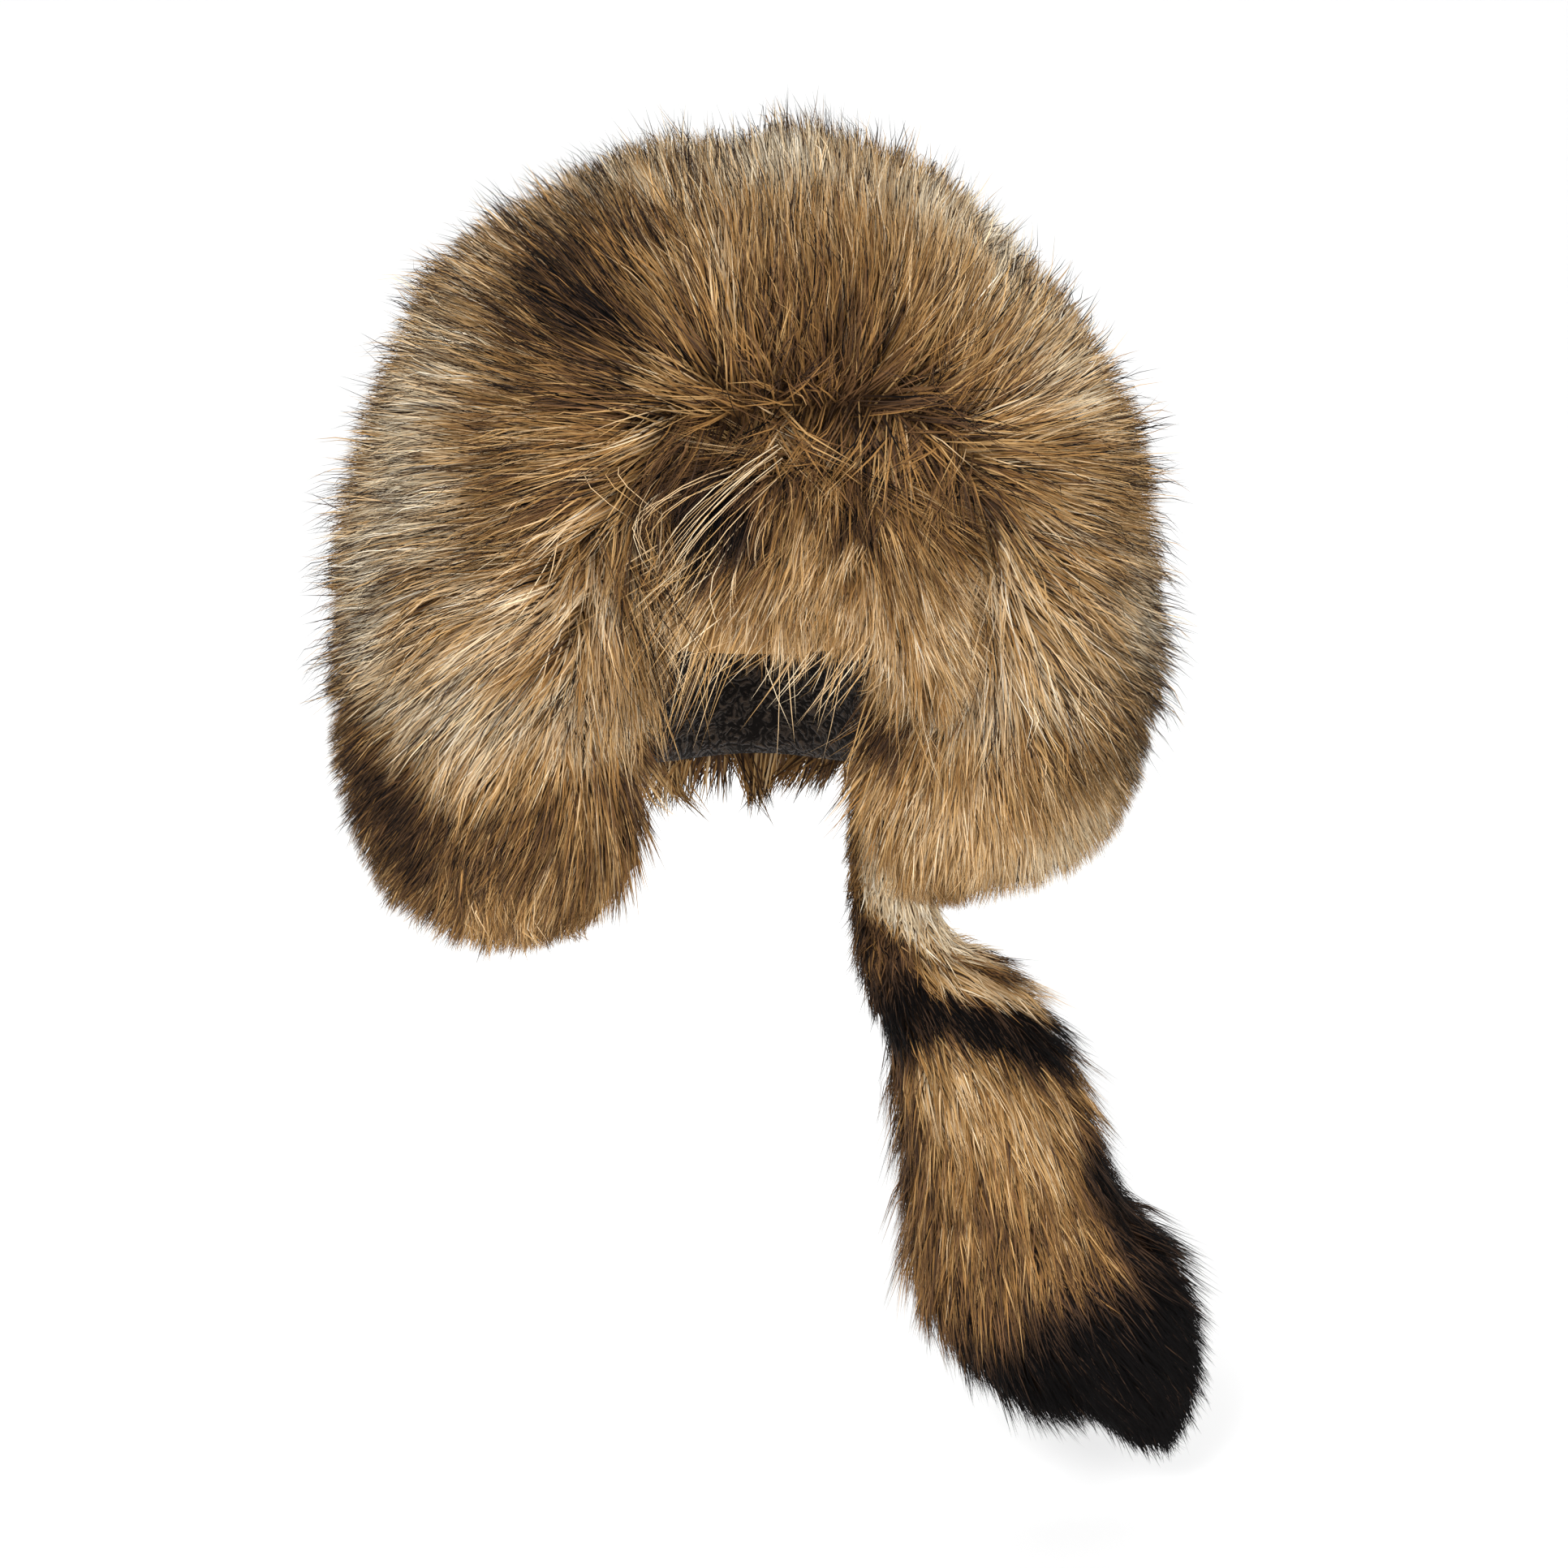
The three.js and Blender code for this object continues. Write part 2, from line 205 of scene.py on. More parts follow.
# Where along a hair its colour is looked up, and which part of a hair the underfur looks like.
SEEN_AT = 0.65
UNDERFUR_ALONG = 0.4
UNDERFUR_SHADE = 0.3
# The coat varies most where it is neither black nor white, by tufts, slow waves and single hairs.
LIVELY_LEAST = 0.1
LIVELY_MIXED = 3.2
COAT_BY_TUFT, COAT_WAVE, COAT_SCATTER = 0.38, 0.06, 0.12
TIP_SCATTER = 0.22
SHADE_BY_TUFT, SHADE_SCATTER = 0.75, 0.22
DARK_HAIR_COAT = 0.15
WISP_COAT = 0.66
LOCK_COAT = 0.74
# Coat and tip where no marking shows.
HAT_COAT, HAT_TIP = 0.5, 0.4
FOREHEAD_COAT, FOREHEAD_TIP = 0.55, 0.2
# A painted shadow: a darker band along the forehead flap's arch, by how much, and its reach in
# degrees.
ARCH_SHADOW = 0.25
ARCH_REACH = 4

# Camera, as the photograph was taken.
CAMERA_PLACE = (0.0, -1.2227, 0.2599)
CAMERA_DOWN = 20.29
CAMERA_ASIDE = 0.62
CAMERA_VIEW = 30.85
FLOOR_GAP = 0.03

# Colours of the coat from black to grey cream, as sRGB values of 255, in equal steps.
COAT_COLOURS = (
    (11, 9, 9),
    (62, 46, 35),
    (105, 76, 50),
    (146, 108, 63),
    (178, 142, 94),
    (198, 168, 128),
    (213, 193, 160),
    (226, 214, 192),
)
TIP_COLOUR = (11, 9, 9)
ROOT_COLOUR = (52, 36, 24)
LINING_DARK = (20, 15, 12)
# The lining's paler brown is a painted sheen on its high curls.
LINING_SHEEN = (78, 66, 56)
STAGE_COLOUR = (248, 248, 248)

# Markings of the crown, the ear flaps and the neck flap, laid over each other in this order.
COAT_MARKINGS = {
    # bearing, slope and reach in degrees, coat, how black its tips are, how strongly it shows
    "brown crown": (-8, 38, 22, BROWN, 0.25, 0.9),
    "grizzled back": (180, 70, 60, CREAM, 0.55, 0.9),
    "brown back stripe": (180, 25, 22, BROWN, 0.60, 0.8),
    "brown right back": (-110, 112, 26, BROWN, 0.80, 0.8),
    "tan left back": (110, 112, 26, TAN, 0.80, 0.8),
    "brown neck hem": (180, 128, 40, BROWN, 0.60, 0.8),
    "golden top": (-10, 12, 18, GOLD, 0.40, 0.9),
    "pale top": (45, 17, 15, PALE, 0.35, 0.9),
    "pale left crown": (66, 36, 16, PALE, 0.20, 0.95),
    "brown middle": (22, 38, 12, BROWN, 0.08, 0.9),
    "tan left crown": (44, 52, 12, TAN, 0.10, 0.9),
    "pale left edge": (64, 54, 10, PALE, 0.35, 0.85),
    "golden left edge": (66, 76, 14, GOLD, 0.55, 0.9),
    "pale right edge": (-66, 46, 12, PALE, 0.50, 0.9),
    "white right edge": (-62, 66, 14, WHITE, 0.45, 0.9),
    "tan right crown": (-50, 60, 8, TAN, 0.25, 0.8),
    "golden left seam": (48, 82, 9, GOLD, 0.25, 0.85),
    "dark left side": (43, 67, 7, DARK, 0.25, 0.8),
    "tan saddle edge": (-36, 24, 8, TAN, 0.40, 0.85),
    "pale saddle corner": (-62, 21, 8, PALE, 0.80, 0.85),
    "brown saddle": (-51, 34, 8, BROWN, 0.90, 0.9),
    "dark saddle": (-38, 40, 8, DARK, 0.95, 0.95),
    "tan saddle end": (-23, 46, 6, TAN, 0.70, 0.8),
    "dark spot": (-30, 51, 6, DARK, 0.20, 0.9),
    "low brown spot": (-41, 62, 6, BROWN, 0.20, 0.8),
    "dark parting end": (-14, 57, 6, DARK, 0.30, 0.9),
    "brown whorl": (14, 50, 7, BROWN, 0.20, 0.8),
    "brown whorl side": (36, 54, 6, BROWN, 0.20, 0.8),
    "golden right side": (-32, 69, 7, GOLD, 0.15, 0.9),
    "pale right seam": (-38, 80, 9, PALE, 0.15, 0.9),
    "white right tuft": (-70, 94, 9, WHITE, 0.60, 0.85),
    "pale right flap": (-48, 90, 9, PALE, 0.25, 0.9),
    "golden right inner edge": (-27, 92, 8, GOLD, 0.15, 0.85),
    "pale right inner flap": (-38, 102, 11, PALE, 0.15, 0.95),
    "dark right edge": (-70, 110, 9, DARK, 0.75, 0.9),
    "dark right flap": (-64, 116, 9, DARK, 0.80, 0.95),
    "brown right flap": (-44, 115, 7, BROWN, 0.40, 0.85),
    "black right inner edge": (-28, 116, 7, BLACK, 0.45, 0.85),
    "brown right hem": (-46, 124, 10, BROWN, 0.40, 0.85),
    "tan right hem": (-50, 133, 8, TAN, 0.10, 0.9),
    "white left tuft": (76, 93, 10, WHITE, 0.65, 0.85),
    "cream left flap": (40, 91, 12, CREAM, 0.22, 0.9),
    "brown left inner edge": (26, 92, 7, BROWN, 0.20, 0.8),
    "golden left flap edge": (74, 106, 10, GOLD, 1.00, 0.9),
    "dark left flap": (54, 106, 8, DARK, 0.75, 0.9),
    "dark left inner flap": (21, 110, 6, DARK, 0.30, 0.85),
    "tan left hem": (46, 118, 11, TAN, 0.08, 0.95),
    "pale left hem": (42, 126, 9, PALE, 0.05, 0.9),
    "pale left flap": (57, 96, 9, PALE, 0.25, 0.9),
    "cream left middle": (42, 103, 7, CREAM, 0.20, 0.9),
    "cream left hem edge": (58, 124, 7, CREAM, 0.30, 0.85),
    "cream right middle": (-50, 104, 8, CREAM, 0.20, 0.9),
    "cream right flap edge": (-64, 99, 8, CREAM, 0.40, 0.9),
    "tan right flap top": (-39, 94, 5, TAN, 0.20, 0.8),
    "tan left flap top": (41, 90, 5, TAN, 0.25, 0.8),
    "brown low crown": (-1, 42, 7, BROWN, 0.10, 0.85),
    "cream far right": (-76, 60, 8, CREAM, 0.50, 0.9),
    "cream right inner flap": (-31, 110, 5, CREAM, 0.20, 0.85),
    "golden right corner": (-34, 74, 5, GOLD, 0.10, 0.9),
    "black left inner edge": (28, 112, 7, BLACK, 0.30, 0.9),
    "tan low crown": (-9, 42, 5, TAN, 0.10, 0.8),
    "pale streak": (-24, 53, 4, PALE, 0.15, 0.85),
    "dark right corner": (-20, 72, 3, DARK, 0.20, 0.85),
    "white far right": (-72, 82, 7, WHITE, 0.45, 0.85),
    "cream left rim": (73, 57, 6, CREAM, 0.30, 0.85),
    "pale right flap top": (-29, 82, 5, PALE, 0.10, 0.85),
    "pale right middle": (-38, 110, 5, PALE, 0.20, 0.8),
    "pale left middle": (52, 103, 5, PALE, 0.20, 0.8),
    "cream left corner": (64, 117, 5, CREAM, 0.30, 0.8),
    "dark low crown": (-5, 49, 4, DARK, 0.20, 0.85),
    "pale right crown": (-30, 14, 6, PALE, 0.50, 0.8),
    "cream top edge": (-102, 20, 6, CREAM, 0.60, 0.9),
    "cream neck tufts": (140, 126, 14, CREAM, 0.30, 0.95),
    "white peak": (31, 5, 8, WHITE, 0.30, 0.9),
    "white top rim": (76, 25, 6, WHITE, 0.25, 0.90),
    "white left shoulder": (103, 36, 8, WHITE, 0.20, 0.90),
    "cream left back rim": (94, 49, 5, CREAM, 0.25, 0.85),
    "cream back top": (-83, 9, 5, CREAM, 0.45, 0.85),
    "pale corner streak": (-27, 70, 3, PALE, 0.10, 0.85),
    "cream corner": (-28, 81, 3, CREAM, 0.10, 0.85),
    "black whorl edge": (28, 52, 4, BLACK, 0.30, 0.90),
}
FOREHEAD_MARKINGS = {
    "golden flap": (10, 70, 60, GOLD, 0.15, 1.0),
    "black top": (26, 56, 8, BLACK, 0.10, 0.9),
    "tan left": (28, 70, 8, TAN, 0.20, 0.9),
    "golden fringe": (16, 77, 9, GOLD, 0.10, 0.9),
    "black right": (-7, 64, 10, BLACK, 0.20, 0.95),
    "black low right": (-15, 72, 8, BLACK, 0.20, 0.95),
    "brown fringe": (-12, 80, 5, BROWN, 0.15, 0.8),
    "black side": (38, 60, 6, BLACK, 0.20, 0.8),
    "cream top": (10, 48, 4, CREAM, 0.10, 0.9),
    "black parting": (5, 56, 4, BLACK, 0.20, 0.9),
    "dark middle": (20, 65, 4, DARK, 0.20, 0.85),
    "dark low side": (41, 71, 5, DARK, 0.20, 0.85),
    "pale corner": (-25, 70, 4, PALE, 0.10, 0.9),
    "pale curls": (16, 51, 5, PALE, 0.10, 0.85),
    "black far right": (-16, 61, 4, BLACK, 0.20, 0.9),
    "dark parting side": (11, 55, 3, DARK, 0.20, 0.85),
    "tan left lock": (32, 65, 5, TAN, 0.10, 0.85),
    "black left curl": (28, 57, 4, BLACK, 0.20, 0.85),
}

# Colours along the tail, from its root to its tip, how much further down they lie on the side
# of it that is on the wearer's left, and how much further down on both sides than in the middle.
TAIL_COAT = (
    # along, coat, tip
    (0.00, 0.90, 0.30),
    (0.09, 0.80, 0.40),
    (0.105, 0.24, 0.60),
    (0.15, 0.18, 0.60),
    (0.165, 0.03, 0.90),
    (0.225, 0.05, 0.80),
    (0.25, 0.42, 0.35),
    (0.29, 0.60, 0.15),
    (0.36, 0.60, 0.05),
    (0.41, 0.38, 0.05),
    (0.46, 0.34, 0.10),
    (0.56, 0.34, 0.20),
    (0.60, 0.28, 0.60),
    (0.64, 0.04, 0.90),
    (0.72, 0.00, 1.00),
    (1.00, 0.00, 1.00),
)
TAIL_TILT = 0.045
TAIL_BOW = 0.055
TAIL_INSET = 0.87
# Roughly the length of its middle line, by which places along it are found.
TAIL_LENGTH = 0.37
# How far past its tip the hairs may reach, as a share along it.
TAIL_REACH = 1.15

# Groups of hairs: the piece that they make, how many, and their looks. Leans are degrees between
# a hair and the surface's normal at its root and its tip, droop its pull to the ground, gather how
# far a tuft closes at its tip, bends the number of straight stretches in a hair, give the mean
# share by which it may pass the fur's outer form, and contrast how unlike its tufts are.
HAIR_COLUMNS = (
    "count length width root_lean tip_lean droop tuft spread gather bends give contrast".split()
)
HAIR_GROUPS = {
    "crown_right_hairs": (50000, 0.052, 0.00080, 34, 64, 0.08, 14, 0.0038, 0.76, 2, 0.10, 1.0),
    "crown_left_hairs": (50000, 0.052, 0.00080, 34, 62, 0.08, 9, 0.0042, 0.60, 2, 0.10, 0.6),
    "crown_guard_hairs": (22000, 0.064, 0.00045, 28, 58, 0.05, 4, 0.0050, 0.85, 3, 0.45, 0.6),
    "forehead_hairs": (22000, 0.040, 0.00070, 44, 72, 0.40, 12, 0.0034, 0.74, 2, 0.15, 1.0),
    "brow_wisps": (420, 0.070, 0.00045, 60, 84, 0.25, 4, 0.0060, 0.60, 4, 0.6, 0.6),
    "brow_locks": (1, 0.1, 0.00036, 0, 0, 0, 1, 0, 0, 5, 1, 0.6),
    "ear_hairs_left": (34000, 0.050, 0.00080, 40, 66, 0.30, 12, 0.0040, 0.74, 2, 0.12, 0.8),
    "ear_hairs_right": (36000, 0.050, 0.00080, 40, 66, 0.30, 13, 0.0038, 0.76, 2, 0.12, 1.0),
    "neck_hairs": (20000, 0.050, 0.00100, 42, 68, 0.40, 14, 0.0045, 0.70, 2, 0.15, 0.8),
    "tail_hairs": (40000, 0.040, 0.00075, 60, 83, 0.10, 16, 0.0042, 0.72, 2, 1.0, 0.8),
}
# Single locks across the brow: bearing and slope where each starts and ends, how many hairs it
# has and how far they lie apart at its end, in degrees.
BROW_LOCKS = (
    (6, 53, -17, 74, 8, 1.5),
    (2, 56, -17, 78, 7, 2.4),
    (-4, 56, -22, 69, 4, 2.4),
    (-25, 57, -16, 65, 3, 1.5),
    (-17, 58, -19, 74, 3, 1.0),
    (-14, 60, -18, 72, 2, 1.0),
    (4, 60, 0, 72, 4, 0.8),
    (-3, 66, -5, 84, 4, 1.2),
)
# The most by which a hair may pass the fur's outer form.
MOST_PAST = 0.016
# How deep the locks lie under the outer form, how high they rise in their middle, how much deeper
# their roots lie, and the scatter of that.
LOCK_DEPTH = 0.018
LOCK_RISE = 0.012
LOCK_ROOT = 0.008
LOCK_SCATTER = 0.0025

# Edges of the pelts, in degrees: over how far each is rounded, and where the crown sinks into
# the valley at the forehead flap's arch and grows no more hair.
CROWN_EDGE = 16
VALLEY = (-7, 1.5)
ARCH_FADE = (-1.5, 1.0)
FOREHEAD_TOP_EDGE = 6
FOREHEAD_EDGE = 7
HEM_EDGE = 15
FACE_EDGE = 13
# The least height of a pelt's border, as a share of the full height.
LEAST_HEIGHT = 0.05
# The forehead flap is sparse to the right of a bearing that moves from one to another between two
# slopes, and loses shares of its height and of its hairs there.
SPARSE_BEARINGS = (8, 1)
SPARSE_SLOPES = (52, 76)
SPARSE_HEIGHT, SPARSE_HAIRS = 0.65, 0.93
# Shares along the tail over which its root and its tip are rounded.
TAIL_ROOT_EDGE, TAIL_TIP_EDGE = 0.06, 0.10
# Height of the fleece's curls.
CURL_HEIGHT = 0.0006

# Lamps: place, size and power. All of them aim at one place.
LAMPS = {
    "key_light": ((-0.9, -1.6, 1.5), 1.0, 40),
    "fill_light": ((1.2, -1.8, 0.1), 1.6, 26),
    "rim_light": ((0.3, 1.4, 1.6), 1.2, 14),
}
LAMP_AIM = (0, 0, -0.2)
ROOM_LIGHT = 0.8


def linear(colour):
    """Linear light of an sRGB colour given as values of 255."""
    share = np.array(colour, float) / 255
    low, high = share / 12.92, ((share + 0.055) / 1.055) ** 2.4
    return tuple(np.where(share <= 0.04045, low, high))


def unit(vectors):
    return vectors / np.maximum(np.linalg.norm(vectors, axis=-1, keepdims=True), 1e-12)


def mix(low, high, share):
    return low + (high - low) * share


def smoothstep(value, low, high):
    share = np.clip((value - low) / (high - low), 0, 1)
    return share * share * (3 - 2 * share)


def rounded(distance, reach):
    """0 at an edge and 1 from a reach inside it on, along a quarter of a circle."""
    share = np.clip(distance / reach, 0, 1)
    return np.sqrt(np.maximum(1 - (1 - share) ** 2, 0))


def dot(one, other):
    return (one * other).sum(-1)


# The fur's form


def direction(bearing, slope):
    """Unit vector: sin(slope) along the bearing and cos(slope) up."""
    turn, tilt = np.radians(bearing), np.radians(slope)
    flat = np.sin(tilt)
    return np.stack([flat * np.sin(turn), -flat * np.cos(turn), np.cos(tilt)], -1)


def place_of(points):
    """Bearing and slope of points."""
    aim = unit(points - CENTRE)
    bearing = np.degrees(np.arctan2(aim[..., 0], -aim[..., 1]))
    return bearing, np.degrees(np.arccos(np.clip(aim[..., 2], -1, 1)))


def from_front(bearing):
    """Degrees between a bearing and the front."""
    return np.abs((bearing + 180) % 360 - 180)


def bell(aim, bearing, slope, reach):
    """1 for unit vectors that point at a place, and less the further they are from it, as a bell
    curve with a reach in degrees."""
    towards = aim @ direction(bearing, slope)
    apart = np.degrees(np.arccos(np.clip(towards, -1, 1)))
    return np.exp(-((apart / reach) ** 2))


def oval_radius(bearing):
    turn = np.radians(bearing)
    return 1 / np.hypot(np.sin(turn) / HOLLOW_HALF_WIDTH, np.cos(turn) / HOLLOW_HALF_LENGTH)


def wall_slope(bearing, drop):
    return SEAM_SLOPE + np.degrees(np.arctan2(drop, oval_radius(bearing)))


def hollow_point(bearing, slope, outside):
    """Point of the hollow's wall, moved outside along its normal. The wall is the superellipsoid
    flat^n + up^n = 1 above the seam and an upright oval cylinder, flat = 1, below it."""
    aim = direction(bearing, slope)
    up = np.maximum(aim[..., 2], 0) / DOME_HEIGHT
    flat = np.maximum(np.hypot(aim[..., 0], aim[..., 1]) / oval_radius(bearing), 1e-6)
    reach = (flat**DOME_ROUNDNESS + up**DOME_ROUNDNESS) ** (-1 / DOME_ROUNDNESS)
    bend = flat ** (DOME_ROUNDNESS - 2)
    normal = np.stack(
        [
            bend * aim[..., 0] / HOLLOW_HALF_WIDTH**2,
            bend * aim[..., 1] / HOLLOW_HALF_LENGTH**2,
            up ** (DOME_ROUNDNESS - 1) / DOME_HEIGHT,
        ],
        -1,
    )
    return CENTRE + aim * reach[..., None] + unit(normal) * outside


def fur_point(bearing, slope):
    """Point of the fur's outer form: an oval superellipsoid that is rounder above the seam than
    below it, with its radius cut in the dents and along the face opening."""
    aim = direction(bearing, slope)
    to_left = (1 + np.sin(np.radians(bearing))) / 2
    to_back = np.maximum(-np.cos(np.radians(bearing)), 0)
    half_width = np.where(aim[..., 0] > 0, FUR_HALF_WIDTH_LEFT, FUR_HALF_WIDTH_RIGHT)
    half_length = np.where(aim[..., 1] > 0, FUR_HALF_LENGTH_BACK, FUR_HALF_LENGTH_FRONT)
    drop = mix(mix(FUR_DROP_RIGHT, FUR_DROP_LEFT, to_left), FUR_DROP_BACK, to_back)
    above = aim[..., 2] > 0
    power = np.where(above, FUR_ROUNDNESS_ABOVE, FUR_ROUNDNESS_BELOW)
    flat = np.hypot(aim[..., 0] / half_width, aim[..., 1] / half_length)
    high = np.abs(aim[..., 2]) / np.where(above, FUR_HEIGHT, drop)
    radius = (flat**power + high**power) ** (-1 / power)
    for spot_bearing, spot_slope, reach, share in (*DENTS, *TUFTS):
        radius = radius * (1 + share * bell(aim, spot_bearing, spot_slope, reach))
    near = 1 - smoothstep(from_front(bearing), FACE_BEARING, 2 * FACE_BEARING)
    below = smoothstep(slope, SEAM_SLOPE, SEAM_SLOPE + 2 * COMB)
    radius = radius * (1 - FACE_EDGE_SHARE * near * below)
    return CENTRE + aim * radius[..., None]


def pile_ends(bearing, slope):
    """Where a line through the pile starts on the lining and ends on the outer form. It leans
    down by up to COMB degrees."""
    lean = COMB * np.sin(np.radians(slope)) ** 2
    return hollow_point(bearing, slope, LINING + GAP), fur_point(bearing, slope + lean)


def pile_point(bearing, slope, share):
    """Point of the underfur's top: the share of its full height, which lies HAIR_STAND under
    the outer form."""
    root, end = pile_ends(bearing, slope)
    pile = np.linalg.norm(end - root, axis=-1)
    depth = np.maximum(1 - hat_sizes().hair_stand / pile, LEAST_DEPTH) * share
    return root + (end - root) * np.maximum(depth, ROOT_DEPTH)[..., None]


def trimmed(curves, give):
    """Curves with what reaches past the fur's outer form pulled back towards the middle, so
    that only a share of it, up to a limit, still stands out."""
    from_middle = curves - CENTRE
    far = np.linalg.norm(from_middle, axis=-1, keepdims=True)
    bearing, slope = place_of(curves)
    form = np.linalg.norm(fur_point(bearing, slope) - CENTRE, axis=-1, keepdims=True)
    past = np.maximum(far - form, 0)
    kept = MOST_PAST * np.tanh(past * give / MOST_PAST)
    return CENTRE + from_middle * (far - past + kept) / np.maximum(far, TINY)


def rim_slope(bearing):
    away = smoothstep(from_front(bearing), FACE_BEARING, BROW_SHARE * FACE_BEARING)
    return mix(RIM_SLOPE_FRONT, SEAM_SLOPE, away)


def hem_length(hem, across):
    return hem * (1 - HEM_CORNER * across**4)


def forehead_top(bearing):
    """Slope of the arch where the forehead flap meets the crown."""
    low, high = FOREHEAD_BEARINGS
    across = np.clip((2 * bearing - low - high) / (high - low), -1, 1)
    return FOREHEAD_TOP_SLOPE + FOREHEAD_ARCH * across**4


def forehead_bottom(bearing):
    beside = smoothstep(np.abs(bearing), FACE_BEARING - FRINGE_CORNER, FACE_BEARING)
    return mix(FRINGE_SLOPE, SEAM_SLOPE, beside)


def square_grid(rows, columns, crowd_edges=False):
    """Two arrays from -1 to 1. With crowd_edges, lines lie closer together near the edges."""
    down, across = np.linspace(-1, 1, rows), np.linspace(-1, 1, columns)
    if crowd_edges:
        down, across = np.sin(down * np.pi / 2), np.sin(across * np.pi / 2)
    return np.meshgrid(down, across, indexing="ij")


def disc_grid(rows):
    """Bearing and share of the slope on a disc that is a square drawn round, ring by ring."""
    along, across = square_grid(rows, rows)
    size = np.maximum(np.maximum(np.abs(across), np.abs(along)), TINY)
    flat_across = across * np.sqrt(1 - (along / size) ** 2 / 2)
    flat_along = along * np.sqrt(1 - (across / size) ** 2 / 2)
    bearing = np.degrees(np.arctan2(flat_across, -flat_along))
    return bearing, np.hypot(flat_across, flat_along)


# Meshes


def add_mesh(name, points, quads=(), triangles=(), caps=(), outward=False):
    """A mesh of points with quads, triangles and many-sided caps, given as arrays of indices."""
    mesh = bpy.data.meshes.new(name)
    faces = [np.asarray(part).reshape(-1) for part in (quads, triangles, *caps)]
    sizes = [np.full(len(faces[0]) // 4, 4), np.full(len(faces[1]) // 3, 3)]
    sizes += [np.array([len(cap)]) for cap in faces[2:]]
    corners = np.concatenate(faces).astype(np.int32)
    counts = np.concatenate(sizes).astype(np.int32)
    mesh.vertices.add(len(points))
    mesh.vertices.foreach_set("co", np.ascontiguousarray(points, np.float32).ravel())
    mesh.loops.add(len(corners))
    mesh.loops.foreach_set("vertex_index", corners)
    mesh.polygons.add(len(counts))
    mesh.polygons.foreach_set("loop_start", (np.cumsum(counts) - counts).astype(np.int32))
    mesh.polygons.foreach_set("use_smooth", np.ones(len(counts), bool))
    mesh.update(calc_edges=True)
    if outward:
        sheet = bmesh.new()
        sheet.from_mesh(mesh)
        bmesh.ops.recalc_face_normals(sheet, faces=sheet.faces)
        sheet.to_mesh(mesh)
        sheet.free()
    return mesh


def add_values(mesh, **values):
    """One float attribute on the points for each name."""
    for name, numbers in values.items():
        layer = mesh.attributes.new(name, "FLOAT", "POINT")
        layer.data.foreach_set("value", np.ascontiguousarray(numbers, np.float32).ravel())


def add_piece(name, mesh, material, stands_for=()):
    piece = bpy.data.objects.new(name, mesh)
    bpy.context.scene.collection.objects.link(piece)
    mesh.materials.append(material)
    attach(piece, "root")
    if stands_for:
        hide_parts(*stands_for)
    return piece


def shell(inner, outer):
    """Points and quads of a closed shell: two grids of one size and a strip round their border."""
    rows, columns = inner.shape[:2]
    spots = np.arange(rows * columns).reshape(rows, columns)
    quads = np.stack([spots[:-1, :-1], spots[1:, :-1], spots[1:, 1:], spots[:-1, 1:]], -1)
    quads = quads.reshape(-1, 4)
    rim = [spots[0, :-1], spots[:-1, -1], spots[-1, :0:-1], spots[:0:-1, 0]]
    border = np.concatenate(rim)
    after = np.roll(border, -1)
    shift = rows * columns
    strip = np.stack([border, after, after + shift, border + shift], -1)
    faces = np.concatenate([quads, quads[:, ::-1] + shift, strip])
    return np.concatenate([inner.reshape(-1, 3), outer.reshape(-1, 3)]), faces


class Pelt:
    """A grid of points from which hairs grow, its outward normals and how dense the hairs are."""

    def __init__(self, points, inside, density):
        down, across = np.gradient(points, axis=0), np.gradient(points, axis=1)
        turned = np.cross(down, across)
        outward = np.sign(dot(turned, points - inside).sum())
        self.points = points
        self.normals = unit(turned * outward + 0.02 * np.abs(turned).mean() * unit(points - inside))
        self.steps = np.stack(
            [np.linalg.norm(down, axis=-1), np.linalg.norm(across, axis=-1)], -1
        )
        area = np.linalg.norm(turned, axis=-1) * density
        self.share = (area[1:, 1:] + area[:-1, :-1] + area[1:, :-1] + area[:-1, 1:]).ravel()

    def draw(self, count, luck):
        """Grid places spread over the pelt by area and density, one in each equal share."""
        total = np.cumsum(self.share)
        wanted = (np.arange(count) + luck.random(count)) / count * total[-1]
        cell = np.minimum(np.searchsorted(total, wanted), len(total) - 1)
        row, column = np.divmod(cell, self.points.shape[1] - 1)
        return np.stack([row, column], -1) + luck.random((count, 2))

    def at(self, field, place):
        """Value of a field on the grid between its points."""
        last = np.array(self.points.shape[:2]) - 1.000001
        place = np.abs(place)
        place = np.clip(last - np.abs(last - place), 0, last)
        cell = place.astype(int)
        part = place - cell
        row, column = cell.T
        down, across = part[:, :1], part[:, 1:]
        top = mix(field[row, column], field[row, column + 1], across)
        bottom = mix(field[row + 1, column], field[row + 1, column + 1], across)
        return mix(top, bottom, down)


def from_parting(points):
    """Vectors to points from the nearest places on the parting."""
    start, end = PARTING
    line = end - start
    share = np.clip((points - start) @ line / (line @ line), 0, 1)
    return points - start - share[:, None] * line


def ruffle(points):
    """Slow waves over the fur, three values from -1 to 1 at each point: the sine of each part of
    its place, bent by the sine of the next part."""
    return np.sin(110 * points + 1.8 * np.sin(64 * points[:, [1, 2, 0]] + 1))


def laid(flow, points, normals, unruly, luck):
    """Direction along the surface nearest to a flow that waves and is unruly."""
    flow = unit(flow) + FLOW_WAVE * ruffle(points) + luck.normal(0, unruly, points.shape)
    return unit(flow - normals * dot(flow, normals)[:, None])


def combed(points, normals, droop, luck):
    """Away from the parting, down by the droop, and inward beside the face opening."""
    bearing, slope = place_of(points)
    beside = 1 - smoothstep(np.abs(bearing), FACE_BEARING, INWARD_END)
    inward = beside * smoothstep(slope, 84, 98)
    flow = unit(from_parting(points)) + DOWN * droop
    flow[:, 0] -= INWARD_PULL * inward * smoothstep(-slope, -120, -108) * np.sign(points[:, 0])
    return laid(flow, points, normals, UNRULY, luck)


